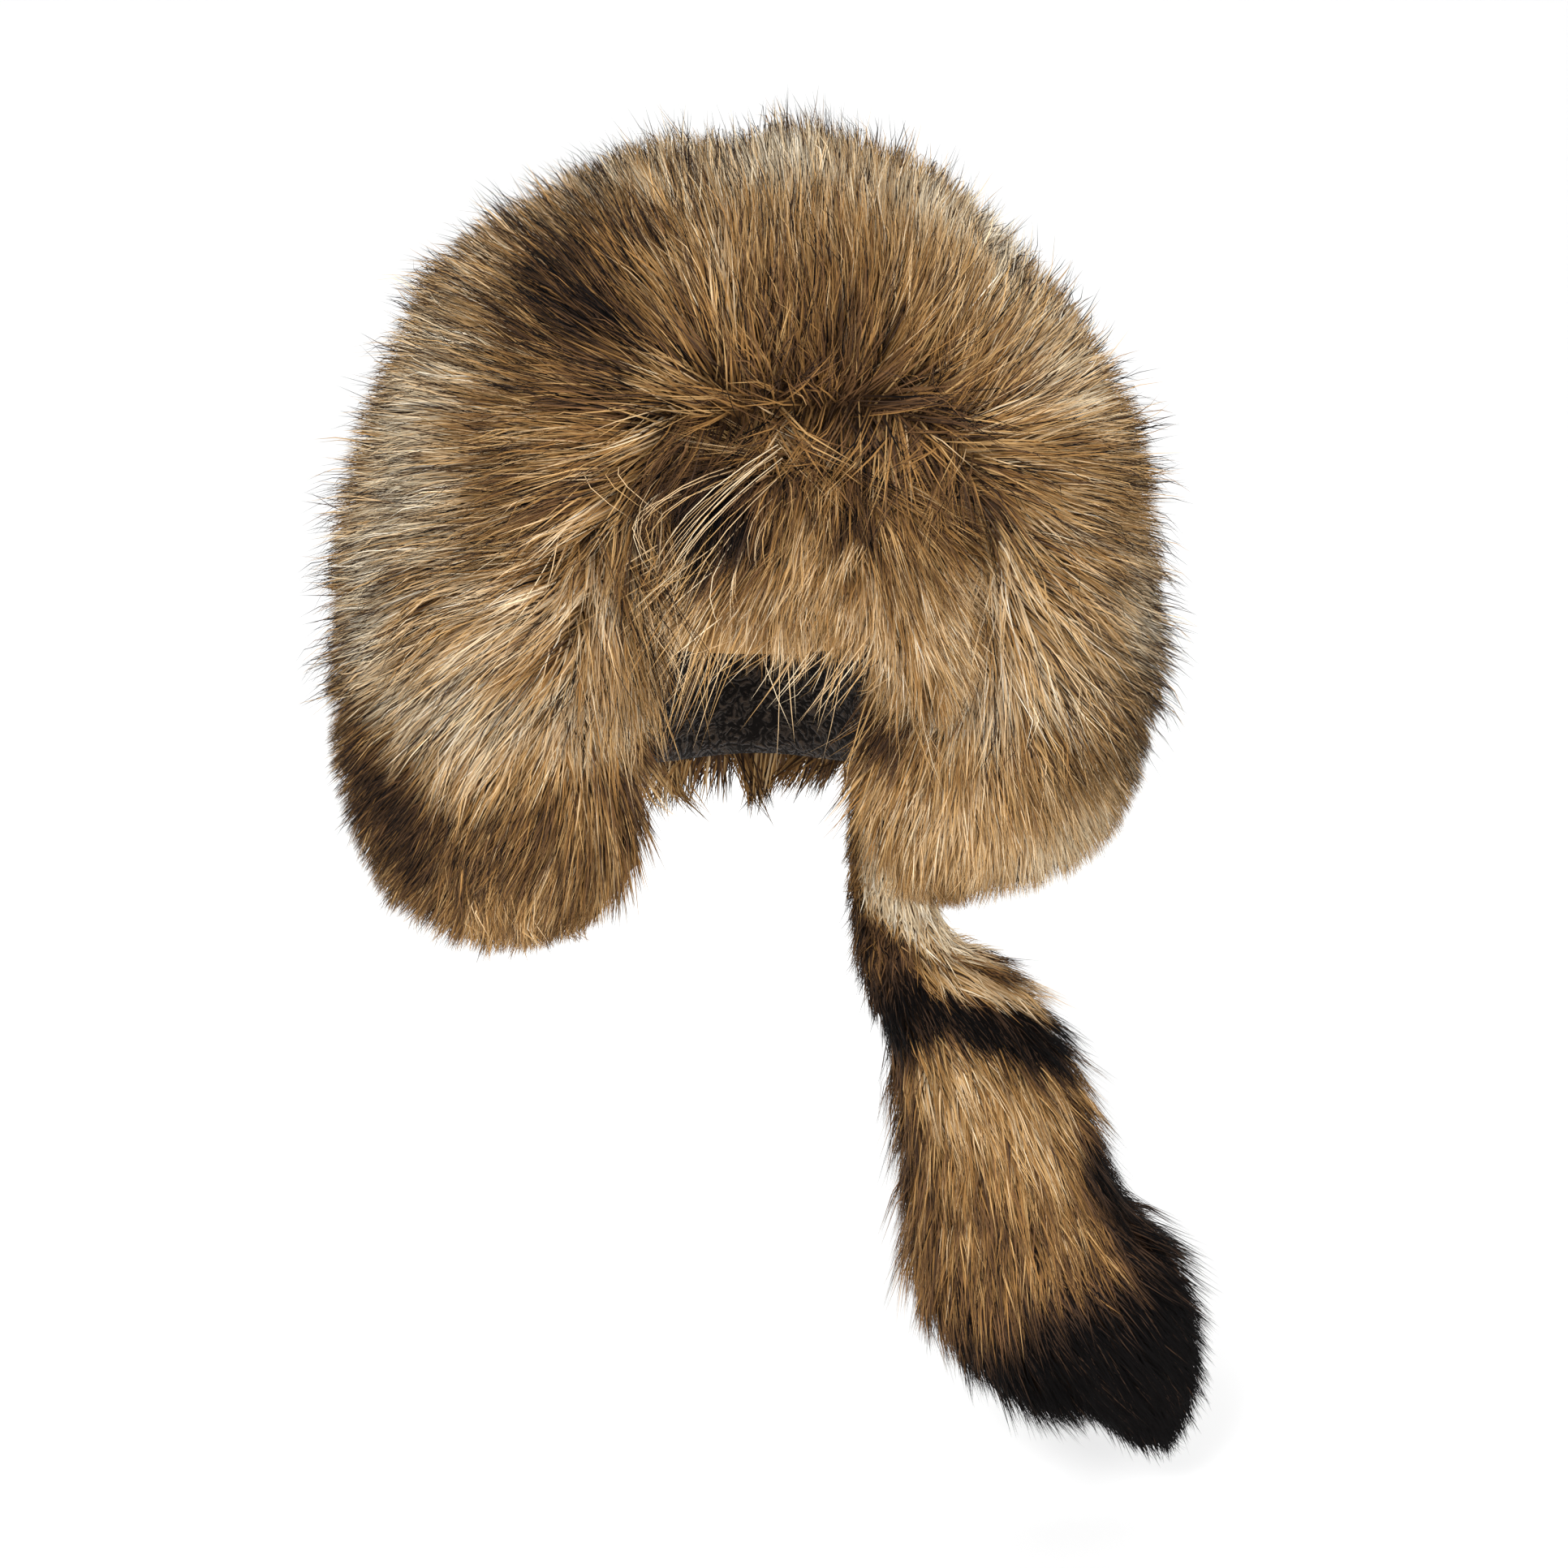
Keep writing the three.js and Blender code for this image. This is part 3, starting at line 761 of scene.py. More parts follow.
def grow_hairs(pelt, look, luck, comb=combed, length_at=None):
    """Curves of hairs, as an array of hairs, rows and xyz, with their surface normals and a
    random number for each tuft. Each tuft has a leading hair whose direction turns from the
    root's lean to the tip's at an even rate. The others start beside it and close in on it."""
    tufts = max(look["count"] // look["tuft"], 1)
    lead_place = pelt.draw(tufts, luck)
    root = pelt.at(pelt.points, lead_place)
    normal = unit(pelt.at(pelt.normals, lead_place))
    flow = comb(root, normal, look["droop"], luck)
    near = np.linalg.norm(from_parting(root), axis=1)
    upright = mix(UPRIGHT_AT_PARTING, 1, smoothstep(near, *PARTING_REACH))
    leans = []
    for lean in (look["root_lean"], look["tip_lean"]):
        angle = np.radians(lean * upright + luck.normal(0, LEAN_SCATTER, tufts))[:, None]
        leans.append(unit(normal * np.cos(angle) + flow * np.sin(angle)))
    leans[1] = unit(leans[1] + DOWN * look["droop"] * TIP_DROOP)
    length = look["length"] * luck.uniform(*TUFT_LENGTHS, tufts)
    length = length * (1 + LENGTH_WAVE * ruffle(root)[:, 0])
    if length_at is not None:
        length = length * length_at(root)

    leader = np.repeat(np.arange(tufts), look["tuft"])
    hairs = len(leader)
    aside = luck.normal(0, look["spread"], (hairs, 2))
    steps = np.maximum(pelt.at(pelt.steps, lead_place), 1e-4)[leader]
    place = lead_place[leader] + aside / steps
    offset = pelt.at(pelt.points, place) - root[leader]
    far = np.maximum(np.linalg.norm(offset, axis=1), TINY)
    offset *= np.minimum(1, MOST_SPREADS * look["spread"] / far)[:, None]
    own = luck.uniform(*HAIR_LENGTHS, hairs) * length[leader]
    stray = luck.normal(0, STRAY_SCATTER, (hairs, 3)) * (look["length"] / STRAY_LENGTH)
    rows = np.linspace(0, 1, look["bends"] + 1)[None, :, None]
    early, late = rows - rows**2 / 2, rows**2 / 2
    own = own[:, None, None]
    curve = root[leader][:, None] + own * (
        early * leans[0][leader][:, None] + late * leans[1][leader][:, None]
    )
    curve = curve + offset[:, None] * (1 - look["gather"] * rows) + stray[:, None] * rows**2
    if look["give"] < 1:
        # Three times the square of a random number from 0 to 1 has a mean of 1.
        give = np.minimum(3 * look["give"] * luck.random(tufts) ** 2, 1)
        curve = trimmed(curve, give[leader][:, None, None])
    return curve, normal[leader], luck.random(tufts)[leader]


def ribbons(curves, normals, width, luck):
    """Points, triangles and the share along of flat hairs that taper to a point, each turned a
    little round its own length. Every row but the last has two points."""
    hairs, rows = curves.shape[:2]
    along = np.gradient(curves, axis=1)
    side = unit(np.cross(along, normals[:, None]))
    across = unit(np.cross(unit(along), side))
    turn = luck.uniform(-RIBBON_TURN, RIBBON_TURN, hairs)[:, None, None]
    side = side * np.cos(turn) + across * np.sin(turn)
    share = np.linspace(0, 1, rows)
    half = 0.5 * width * luck.uniform(*RIBBON_WIDTHS, hairs)[:, None, None]
    taper = (1 - RIBBON_TAPER * share[:-1] ** 1.5)[None, :, None]
    pairs = side[:, :-1] * half * taper
    middle = curves[:, :-1]
    points = np.stack([middle - pairs, middle + pairs], 2).reshape(hairs, -1, 3)
    points = np.concatenate([points, curves[:, -1:]], 1)
    each = points.shape[1]
    pattern = []
    for row in range(rows - 2):
        a = 2 * row
        pattern += [(a, a + 1, a + 2), (a + 1, a + 3, a + 2)]
    pattern.append((each - 3, each - 2, each - 1))
    triangles = np.arange(hairs)[:, None, None] * each + np.array(pattern)
    first = points[:, 1] - points[:, 0]
    second = points[:, 2] - points[:, 0]
    inward = dot(np.cross(first, second), normals) < 0
    triangles[inward] = triangles[inward][:, :, ::-1]
    height = np.concatenate([np.repeat(share[:-1], 2), [1.0]])
    sides = np.concatenate([np.tile([0.0, 1.0], rows - 1), [0.5]])
    return points.reshape(-1, 3), triangles.reshape(-1, 3), height, sides


def patched(bearing, slope, patches, coat, tip):
    """Coat and tip at places: each patch of colour is laid over the ones before it."""
    aim = direction(bearing, slope)
    for patch_bearing, patch_slope, reach, patch_coat, patch_tip, strength in patches.values():
        share = strength * bell(aim, patch_bearing, patch_slope, reach)
        coat = mix(coat, patch_coat, share)
        tip = mix(tip, patch_tip, share)
    return coat, tip


def hat_colour(points):
    """Coat and tip on the crown and the flaps, with a painted shadow that darkens the coat along
    the left of the arch where the forehead flap starts."""
    bearing, slope = place_of(points)
    coat, tip = patched(bearing, slope, COAT_MARKINGS, HAT_COAT, HAT_TIP)
    high = FOREHEAD_BEARINGS[1]
    near = np.exp(-(((slope - forehead_top(bearing)) / ARCH_REACH) ** 2))
    beside = smoothstep(bearing, 2, 14) * smoothstep(-bearing, -high - 6, -high + 6)
    # The coat is darkened here by the painted shadow along the arch.
    return coat * (1 - ARCH_SHADOW * near * beside), tip


def forehead_colour(points):
    bearing, slope = place_of(points)
    return patched(bearing, slope, FOREHEAD_MARKINGS, FOREHEAD_COAT, FOREHEAD_TIP)


def wisp_colour(points):
    return np.full(len(points), WISP_COAT), np.zeros(len(points))


def lock_colour(points):
    return np.full(len(points), LOCK_COAT), np.zeros(len(points))


def stronger(droop, points, fall):
    """The droop at points, as many times stronger as the fall says."""
    _, slope = place_of(points)
    times, start, end = fall
    return (droop * mix(1, times, smoothstep(slope, start, end)))[:, None]


def fringe_comb(points, normals, droop, luck):
    """Away from a place over the left end of the parting and down, over the forehead flap."""
    flow = unit(points - FRINGE_TOP) + DOWN * stronger(droop, points, FRINGE_FALL)
    return laid(flow, points, normals, UNRULY_FRINGE, luck)


def wisp_comb(points, normals, droop, luck):
    """To the lower right of the face opening, and straight down at the fringe, quite unruly."""
    flow = unit(fur_point(*FRINGE_END) - points) + DOWN * stronger(droop, points, WISP_FALL)
    return laid(flow, points, normals, UNRULY_WISPS, luck)


def fringe_length(points):
    """Share of the full length: shorter at the parting and a little shorter at the fringe."""
    _, slope = place_of(points)
    near = np.linalg.norm(from_parting(points), axis=1)
    return mix(1, 0.75, smoothstep(slope, 64, 76)) * mix(0.6, 1, smoothstep(near, 0.01, 0.05))


def flap_length(points):
    """Share of the full length: shorter towards the face opening, and less so at the hem."""
    bearing, slope = place_of(points)
    inner = 1 - smoothstep(np.abs(bearing), *SHORT_BEARINGS)
    return 1 - inner * mix(SHORT_BY, SHORT_BY_AT_HEM, smoothstep(slope, *SHORT_SLOPES))


def dye(mesh, hairs, each, height, sides, coat, tip, shade, luck):
    """Gives every hair one step of each scale, picked at random about its true value, and a
    strip of the dye map for that sort of hair, with its root at the bottom."""
    steps = []
    for value, count in ((coat, COAT_STEPS), (tip, TIP_STEPS), (shade, SHADE_STEPS)):
        scaled = np.clip(value, 0, 1) * (count - 1)
        steps.append(np.minimum((scaled + luck.random(hairs)).astype(int), count - 1))
    coat_step, tip_step, shade_step = steps
    add_values(
        mesh,
        along=np.tile(height, hairs),
        coat=np.repeat(coat_step / (COAT_STEPS - 1), each),
        tip=np.repeat(tip_step / (TIP_STEPS - 1), each),
        shade=np.repeat(shade_step / (SHADE_STEPS - 1), each),
    )
    sort = (coat_step * TIP_STEPS + tip_step) * SHADE_STEPS + shade_step
    sorts = COAT_STEPS * TIP_STEPS * SHADE_STEPS
    start, wide = STRIP_ACROSS
    across = (sort[:, None] + start + wide * sides[None]) / sorts
    foot, tall = STRIP_UP
    spots = np.stack([across, np.broadcast_to(foot + tall * height, across.shape)], -1)
    corners = np.empty(len(mesh.loops), np.int32)
    mesh.loops.foreach_get("vertex_index", corners)
    layer = mesh.uv_layers.new(name=DYE_MAP)
    layer.uv.foreach_set("vector", spots.reshape(-1, 2)[corners].astype(np.float32).ravel())


def few_dark(tip):
    """Share of hairs that are dark all along, in most groups."""
    return 0.03 + 0.2 * tip**2


def many_dark(tip):
    """The same share among the crown's guard hairs."""
    return 0.5 + 0.4 * tip


def hair_look(name):
    """Looks of a group of hairs, with the user's sizes worked in."""
    sizes = hat_sizes()
    look = dict(zip(HAIR_COLUMNS, HAIR_GROUPS[name]))
    look["count"] = int(look["count"] * sizes.fullness)
    look["length"] *= sizes.hair_length
    look["width"] *= sizes.hair_width
    return look


def add_grown(name, look, grown, colour, luck, dark_share=few_dark):
    """The piece made of grown hairs: their curves, normals and the random numbers of their
    tufts."""
    curves, normals, tuft = grown
    points, triangles, height, sides = ribbons(curves, normals, look["width"], luck)
    mesh = add_mesh(name, points, triangles=triangles)
    hairs = len(curves)
    seen = curves[:, 0] * (1 - SEEN_AT) + curves[:, -1] * SEEN_AT
    coat, tip = colour(seen)
    unlike = (tuft - 0.5) * look["contrast"]
    lively = LIVELY_LEAST + LIVELY_MIXED * coat * (1 - coat)
    unlike_here = COAT_BY_TUFT * unlike + COAT_WAVE * ruffle(seen)[:, 1]
    coat = coat + lively * (unlike_here + luck.normal(0, COAT_SCATTER, hairs))
    dark = luck.random(hairs) < dark_share(tip)
    tip = tip + luck.normal(0, TIP_SCATTER, hairs) * mix(0.4, 1, smoothstep(tip, 0.05, 0.4))
    coat, tip = np.where(dark, coat * DARK_HAIR_COAT, coat), np.where(dark, 1, tip)
    shade = 0.5 + lively * (SHADE_BY_TUFT * unlike + luck.normal(0, SHADE_SCATTER, hairs))
    dye(mesh, hairs, len(height), height, sides, coat, tip, shade, luck)
    return add_piece(name, mesh, hair_material())


def add_hairs(name, pelt, colour, comb=combed, length_at=None, dark_share=few_dark):
    """One piece of hairs on a pelt, with its own fixed seed."""
    luck = np.random.default_rng(sum(name.encode()))
    look = hair_look(name)
    grown = grow_hairs(pelt, look, luck, comb, length_at)
    return add_grown(name, look, grown, colour, luck, dark_share)


def add_locks(name, colour):
    """One piece of single locks, with its own fixed seed."""
    luck = np.random.default_rng(sum(name.encode()))
    look = hair_look(name)
    curves, normals = brow_locks(look["bends"] + 1, luck)
    middling = np.full(len(curves), 0.5)
    return add_grown(name, look, (curves, normals, middling), colour, luck)


def brow_locks(rows, luck):
    """Curves of the single locks, which lie over the fur's outer form, and their normals."""
    share = np.linspace(0, 1, rows)
    curves = []
    for start, top, end, bottom, hairs, apart in BROW_LOCKS:
        off = luck.normal(0, 1, (hairs, 2, 1))
        bend = luck.normal(-2, 1, (hairs, 1))
        spread = apart * mix(0.7, 1, share)
        bearing = mix(start, end, share) + off[:, 0] * spread + bend * np.sin(share * np.pi)
        slope = mix(top, bottom, share) + off[:, 1] * spread
        lift = LOCK_RISE * np.sin(share * np.pi) - LOCK_ROOT * (1 - share) ** 2
        lift = lift + LOCK_SCATTER * luck.normal(0, 1, (hairs, 1))
        points = fur_point(bearing, slope)
        curves.append(points - unit(points - CENTRE) * (LOCK_DEPTH - lift)[..., None])
    curves = np.concatenate(curves)
    return curves, unit(curves[:, 2] - CENTRE)


def add_body(name, mesh, points, colour, node):
    """A closed body under the hairs, coloured as the lower part of a hair."""
    coat, _ = colour(points)
    each = np.ones(len(points))
    along, shade = each * UNDERFUR_ALONG, each * UNDERFUR_SHADE
    add_values(mesh, along=along, coat=coat, tip=each * 0, shade=shade)
    return add_piece(name, mesh, hair_material(), [node])


def add_underfur(name, inner, outer, colour, node):
    """The body from the lining to the underfur's top."""
    points, quads = shell(inner, outer)
    mesh = add_mesh(name, points, quads=quads, outward=True)
    return add_body(name, mesh, points, colour, node)


# Pelts


def crown_pelt(rows=96):
    """The dome from straight up to the seam. Its top sinks into a valley at the forehead
    flap's arch, to a pocket under that flap, and is rounded over the face."""
    bearing, share = disc_grid(rows)
    slope = share * SEAM_SLOPE
    low, high = FOREHEAD_BEARINGS
    inside = np.minimum(
        slope - forehead_top(bearing),
        np.minimum(bearing - low, high - bearing) * np.sin(np.radians(slope)),
    )
    pocket = smoothstep(inside, *VALLEY)
    over_face = 1 - smoothstep(np.abs(bearing), FACE_BEARING, BROW_SHARE * FACE_BEARING)
    edge = mix(1, rounded(SEAM_SLOPE - slope, CROWN_EDGE), over_face)
    height = mix(edge, POCKET_DEPTH, pocket)
    inner = hollow_point(bearing, slope, LINING + GAP)
    outer = pile_point(bearing, slope, height)
    return inner, outer, smoothstep(-inside, *ARCH_FADE)


def forehead_pelt(rows=30, columns=44):
    """The forehead flap between its arch and its fringe, rounded on all four sides and thin
    on the right of it. The last two values are how dense its hairs and its wisps are."""
    down, across = square_grid(rows, columns, crowd_edges=True)
    low, high = FOREHEAD_BEARINGS
    bearing = mix(low + GAP_ANGLE, high - GAP_ANGLE, (across + 1) / 2)
    top, bottom = forehead_top(bearing) + GAP_ANGLE, forehead_bottom(bearing)
    slope = mix(top, bottom, (down + 1) / 2)
    border = mix(*SPARSE_BEARINGS, smoothstep(slope, *SPARSE_SLOPES))
    sparse = smoothstep(border - bearing, -3, 3) * smoothstep(slope, 53, 57)
    height = (
        rounded(slope - top, FOREHEAD_TOP_EDGE)
        * rounded(bottom - slope, FOREHEAD_EDGE)
        * rounded(np.minimum(bearing - low, high - bearing), FOREHEAD_EDGE)
        * (1 - SPARSE_HEIGHT * sparse)
    )
    inner = pile_point(bearing, slope, 0)
    outer = pile_point(bearing, slope, np.maximum(height, LEAST_HEIGHT))
    wispy = np.maximum(sparse, 0.6 * smoothstep(slope - bottom, -8, -2))
    thin = smoothstep(slope - bottom, -5, 0) * (np.abs(bearing) < FACE_BEARING)
    return inner, outer, (1 - SPARSE_HAIRS * sparse) * (1 - 0.6 * thin), wispy


def flap_pelt(start, end, hem, face_edge, rows=34, columns=36):
    """A hanging flap between two bearings, rounded at its hem and at its face edge."""
    down, across = square_grid(rows, columns, crowd_edges=True)
    bearing = mix(start, end, (across + 1) / 2)
    bottom = wall_slope(bearing, hem_length(hem, across))
    slope = mix(SEAM_SLOPE, bottom, (down + 1) / 2)
    height = rounded(bottom - slope, HEM_EDGE)
    if face_edge:
        height = height * rounded(np.abs(bearing) - FACE_BEARING, FACE_EDGE)
    inner = pile_point(bearing, slope, 0)
    outer = pile_point(bearing, slope, np.maximum(height, LEAST_HEIGHT))
    return inner, outer, np.ones(bearing.shape)


def tail_line(along):
    """Points, tangents, sideways and backward directions and half sizes of the tail, on
    smooth curves through its sections."""
    count = len(TAIL_SECTIONS)
    spot = np.clip(along, 0, 1) * (count - 1)
    start = np.minimum(spot.astype(int), count - 2)
    part = (spot - start)[:, None]
    before, one, two, after = (
        TAIL_SECTIONS[np.clip(start + step, 0, count - 1)] for step in (-1, 0, 1, 2)
    )
    value = 0.5 * (
        2 * one
        + (two - before) * part
        + (2 * before - 5 * one + 4 * two - after) * part**2
        + (3 * one - before - 3 * two + after) * part**3
    )
    slope = 0.5 * (
        (two - before)
        + 2 * (2 * before - 5 * one + 4 * two - after) * part
        + 3 * (3 * one - before - 3 * two + after) * part**2
    )
    tangent = unit(slope[:, :3])
    side = unit(np.cross(np.array([0.0, 1.0, 0.0]), tangent))
    return value[:, :3], tangent, side, np.cross(tangent, side), value[:, 3:]


def tail_pelt(rings=72, around=40):
    """The tail's underfur: an oval carried along its middle line, round at both ends."""
    along = (1 - np.cos(np.linspace(0, 1, rings) * np.pi)) / 2
    middle, _, side, back, half = tail_line(along)
    turn = np.linspace(0, 2 * np.pi, around + 1)
    ends = rounded(along, TAIL_ROOT_EDGE) * rounded(1 - along, TAIL_TIP_EDGE)
    half = half * TAIL_INSET * np.maximum(ends, 0.02)[:, None]
    wide = half[:, 0, None, None] * np.cos(turn)[None, :, None] * side[:, None]
    deep = half[:, 1, None, None] * np.sin(turn)[None, :, None] * back[:, None]
    return middle[:, None] + wide + deep, np.broadcast_to(middle[:, None], wide.shape)


# Linings


def lining_sheet(bearing, slope):
    """Inner and outer face of a lining: the hollow's wall, with the curls of the fleece as
    small waves on it, and a plain face one LINING further out."""
    curl = np.sin(bearing * 1.9 + np.sin(slope * 1.3) * 2) * np.sin(slope * 2.1 + bearing * 0.7)
    inner = hollow_point(bearing, slope, 0)
    outer = hollow_point(bearing, slope, LINING)
    inward = unit(inner - outer)
    return inner + inward * (CURL_HEIGHT * curl)[..., None], outer


def crown_lining_sheet(rows=64):
    bearing, share = disc_grid(rows)
    return lining_sheet(bearing, share * rim_slope(bearing))


def flap_lining_sheet(start, end, hem, rows=22, columns=44):
    down, across = square_grid(rows, columns)
    bearing = mix(start, end, (across + 1) / 2)
    top = rim_slope(bearing) + 2 * GAP_ANGLE
    bottom = wall_slope(bearing, hem_length(hem, across))
    return lining_sheet(bearing, mix(top, bottom, (down + 1) / 2))


# Materials


class Wire:
    """An output socket of a material. Sums, differences and products of wires and numbers add
    Math nodes."""

    def __init__(self, tree, socket=None):
        self.tree = tree
        self.socket = socket

    def node(self, kind, settings=None, sockets=None, output=0):
        """Adds a node, sets its settings or a ramp's stops, then fills its sockets."""
        made = self.tree.nodes.new(kind)
        for name, value in (settings or {}).items():
            if name == "stops":
                set_stops(made.color_ramp, value)
            else:
                setattr(made, name, value)
        for name, value in (sockets or {}).items():
            if isinstance(value, Wire):
                self.tree.links.new(value.socket, made.inputs[name])
            else:
                made.inputs[name].default_value = value
        return Wire(self.tree, made.outputs[output] if made.outputs else None)

    def math(self, operation, first, second):
        return self.node("ShaderNodeMath", {"operation": operation}, {0: first, 1: second})

    def __add__(self, other):
        return self.math("ADD", self, other)

    __radd__ = __add__

    def __sub__(self, other):
        return self.math("SUBTRACT", self, other)

    def __rsub__(self, other):
        return self.math("SUBTRACT", other, self)

    def __mul__(self, other):
        return self.math("MULTIPLY", self, other)

    __rmul__ = __mul__

    def value_of(self, name):
        return self.node("ShaderNodeAttribute", {"attribute_name": name}, output="Fac")

    def ease(self, low, high):
        limits = {"From Min": low, "From Max": high, "Value": self}
        return self.node("ShaderNodeMapRange", {"interpolation_type": "SMOOTHSTEP"}, limits)

    def blend(self, first, second):
        """Colour from first to second by this wire's value."""
        sockets = {0: self, 6: first, 7: second}
        return self.node("ShaderNodeMix", {"data_type": "RGBA"}, sockets, 2)

    def brighten(self, factor):
        scaled = {0: self, 3: factor}
        return self.node("ShaderNodeVectorMath", {"operation": "SCALE"}, scaled)


def set_stops(ramp, stops):
    while len(ramp.elements) < len(stops):
        ramp.elements.new(1.0)
    for element, (place, colour) in zip(ramp.elements, stops):
        element.position = place
        element.color = (*colour, 1.0)


def new_material(name, colour_of, **sockets):
    """A material whose base colour, and relief if any, come from a function of its first wire,
    with other sockets of the shader set as given."""
    if name in bpy.data.materials:
        return bpy.data.materials[name]
    made = bpy.data.materials.new(name)
    made.use_nodes = True
    made.node_tree.nodes.clear()
    start = Wire(made.node_tree)
    inputs = {key.replace("_", " ").title(): value for key, value in sockets.items()}
    inputs["Specular IOR Level"] = inputs.pop("Specular", 0.2)
    shader = start.node("ShaderNodeBsdfPrincipled", {}, {**inputs, **colour_of(start)})
    start.node("ShaderNodeOutputMaterial", {}, {"Surface": shader})
    return made


def hair_material():
    """Hair: its coat's colour, dark at the root and black at the tip as far as tip says."""
    colours = hat_colours()

    def inputs(start):
        along, coat = start.value_of("along"), start.value_of("coat")
        stops = [
            (step / (COAT_STEPS - 1), getattr(colours, f"coat_{step}"))
            for step in range(COAT_STEPS)
        ]
        body = coat.node("ShaderNodeValToRGB", {"stops": stops}, {0: coat})
        body = body.brighten(SHADE_LEAST + SHADE_RANGE * start.value_of("shade"))
        root = coat.blend((*colours.root, 1), body)
        length = along.ease(*ROOT_FADE).blend(root, body)
        black = along.ease(*TIP_FADE) * start.value_of("tip")
        return {"Base Color": black.blend(length, (*colours.tip, 1))}

    return new_material("fur_hair", inputs, roughness=0.6, specular=0.05)


def lining_material():
    """Dark curly fleece: two browns mixed by crinkled waves, raised where they are light, where the
    paler brown is a painted sheen.
    """
    colours = hat_colours()

    def inputs(start):
        spot = start.node("ShaderNodeTexCoord", output="Object")
        curls = {"Vector": spot, "Scale": 190.0, "Detail": 3.0, "Distortion": 2.2}
        light = spot.node("ShaderNodeTexNoise", {}, curls).ease(0.44, 0.68)
        # The paler brown on the raised curls is a painted sheen.
        dark, pale = (*colours.lining_dark, 1), (*colours.lining_sheen, 1)
        height = {"Height": light, "Distance": 0.0012, "Strength": 0.8}
        bump = start.node("ShaderNodeBump", {}, height)
        return {"Base Color": light.blend(dark, pale), "Normal": bump}

    return new_material("fleece_lining", inputs, roughness=0.95, specular=0.1, sheen_weight=0.2)


def stage_material():
    colour = (*hat_colours().stage, 1)
    return new_material("pale_paper", lambda start: {"Base Color": colour}, roughness=0.9)


# What a user would change


def colour_property(name, description, colour):
    return bpy.props.FloatVectorProperty(
        name=name, description=description, default=linear(colour), size=3, subtype="COLOR"
    )


class HatSizes(bpy.types.PropertyGroup):
    hair_stand: bpy.props.FloatProperty(
        name="Hair Stand",
        description="How far the hairs stand over the underfur",
        default=HAIR_STAND,
        min=0.0,
        unit="LENGTH",
        subtype="DISTANCE",
    )
    hair_length: bpy.props.FloatProperty(
        name="Hair Length", description="Length of all hairs", default=1.0, subtype="FACTOR"
    )
    hair_width: bpy.props.FloatProperty(
        name="Hair Width", description="Width of all hairs", default=1.0, subtype="FACTOR"
    )
    fullness: bpy.props.FloatProperty(
        name="Fullness",
        description="Share of the hairs that are made",
        default=1.0,
        subtype="FACTOR",
    )


class HatColours(bpy.types.PropertyGroup):
    coat_0: colour_property("Black", "Darkest coat", COAT_COLOURS[0])
    coat_1: colour_property("Dark Brown", "Dark brown coat", COAT_COLOURS[1])
    coat_2: colour_property("Brown", "Brown coat", COAT_COLOURS[2])
    coat_3: colour_property("Tan", "Tan coat", COAT_COLOURS[3])
    coat_4: colour_property("Golden Tan", "Golden tan coat", COAT_COLOURS[4])
    coat_5: colour_property("Gold Cream", "Golden cream coat", COAT_COLOURS[5])
    coat_6: colour_property("Cream", "Cream coat", COAT_COLOURS[6])
    coat_7: colour_property("Grey Cream", "Grey cream coat", COAT_COLOURS[7])
    tip: colour_property("Tips", "Black ends of the hairs", TIP_COLOUR)
    root: colour_property("Roots", "Foot of the hairs and the underfur", ROOT_COLOUR)
    lining_dark: colour_property("Lining Dark", "Deep curls of the lining", LINING_DARK)
    # The lining's painted sheen on its high curls.
    lining_sheen: colour_property("Lining Light", "High curls of the lining", LINING_SHEEN)
    stage: colour_property("Stage", "Floor and backdrop", STAGE_COLOUR)


def hat_sizes():
    return bpy.context.scene.hat_sizes


def hat_colours():
    return bpy.context.scene.hat_colours


# Pieces


class HAT_OT_linings(bpy.types.Operator):
    """Adds the fleece linings of the crown, the ear flaps and the neck flap"""

    bl_idname = "hat.linings"
    bl_label = "Linings"

    def execute(self, context):
        face, neck = FACE_BEARING, NECK_BEARING
        sheets = {
            "crown_lining": crown_lining_sheet(),
            "ear_lining_left": flap_lining_sheet(face, neck, HEM_LEFT),
            "ear_lining_right": flap_lining_sheet(-neck, -face, HEM_RIGHT),
            "neck_lining": flap_lining_sheet(neck + GAP_ANGLE, 360 - neck - GAP_ANGLE, HEM_NECK),
        }
        for node, (inner, outer) in sheets.items():
            points, quads = shell(inner, outer)
            mesh = add_mesh(node + "_fleece", points, quads=quads, outward=True)
            add_piece(node + "_fleece", mesh, lining_material(), [node])
        return {"FINISHED"}


class HAT_OT_crown(bpy.types.Operator):
    """Adds the crown's underfur, its hairs on both sides and its guard hairs"""

    bl_idname = "hat.crown"
    bl_label = "Crown"

    def execute(self, context):
        inner, outer, density = crown_pelt()
        add_underfur("crown_underfur", inner, outer, hat_colour, "crown_fur")
        on_left = outer[..., 0] > 0
        for name, part, dark_share in (
            ("crown_left_hairs", on_left, few_dark),
            ("crown_right_hairs", ~on_left, few_dark),
            ("crown_guard_hairs", np.ones_like(on_left), many_dark),
        ):
            pelt = Pelt(outer, inner, density * part)
            add_hairs(name, pelt, hat_colour, dark_share=dark_share)
        return {"FINISHED"}


class HAT_OT_forehead_flap(bpy.types.Operator):
    """Adds the forehead flap's underfur and hairs"""

    bl_idname = "hat.forehead_flap"
    bl_label = "Forehead Flap"

    def execute(self, context):
        inner, outer, density, wispy = forehead_pelt()
        add_underfur("forehead_underfur", inner, outer, forehead_colour, "forehead_flap")
        pelt = Pelt(outer, inner, density)
        add_hairs("forehead_hairs", pelt, forehead_colour, fringe_comb, fringe_length)
        add_hairs("brow_wisps", Pelt(outer, inner, wispy), wisp_colour, wisp_comb)
        add_locks("brow_locks", lock_colour)
        return {"FINISHED"}


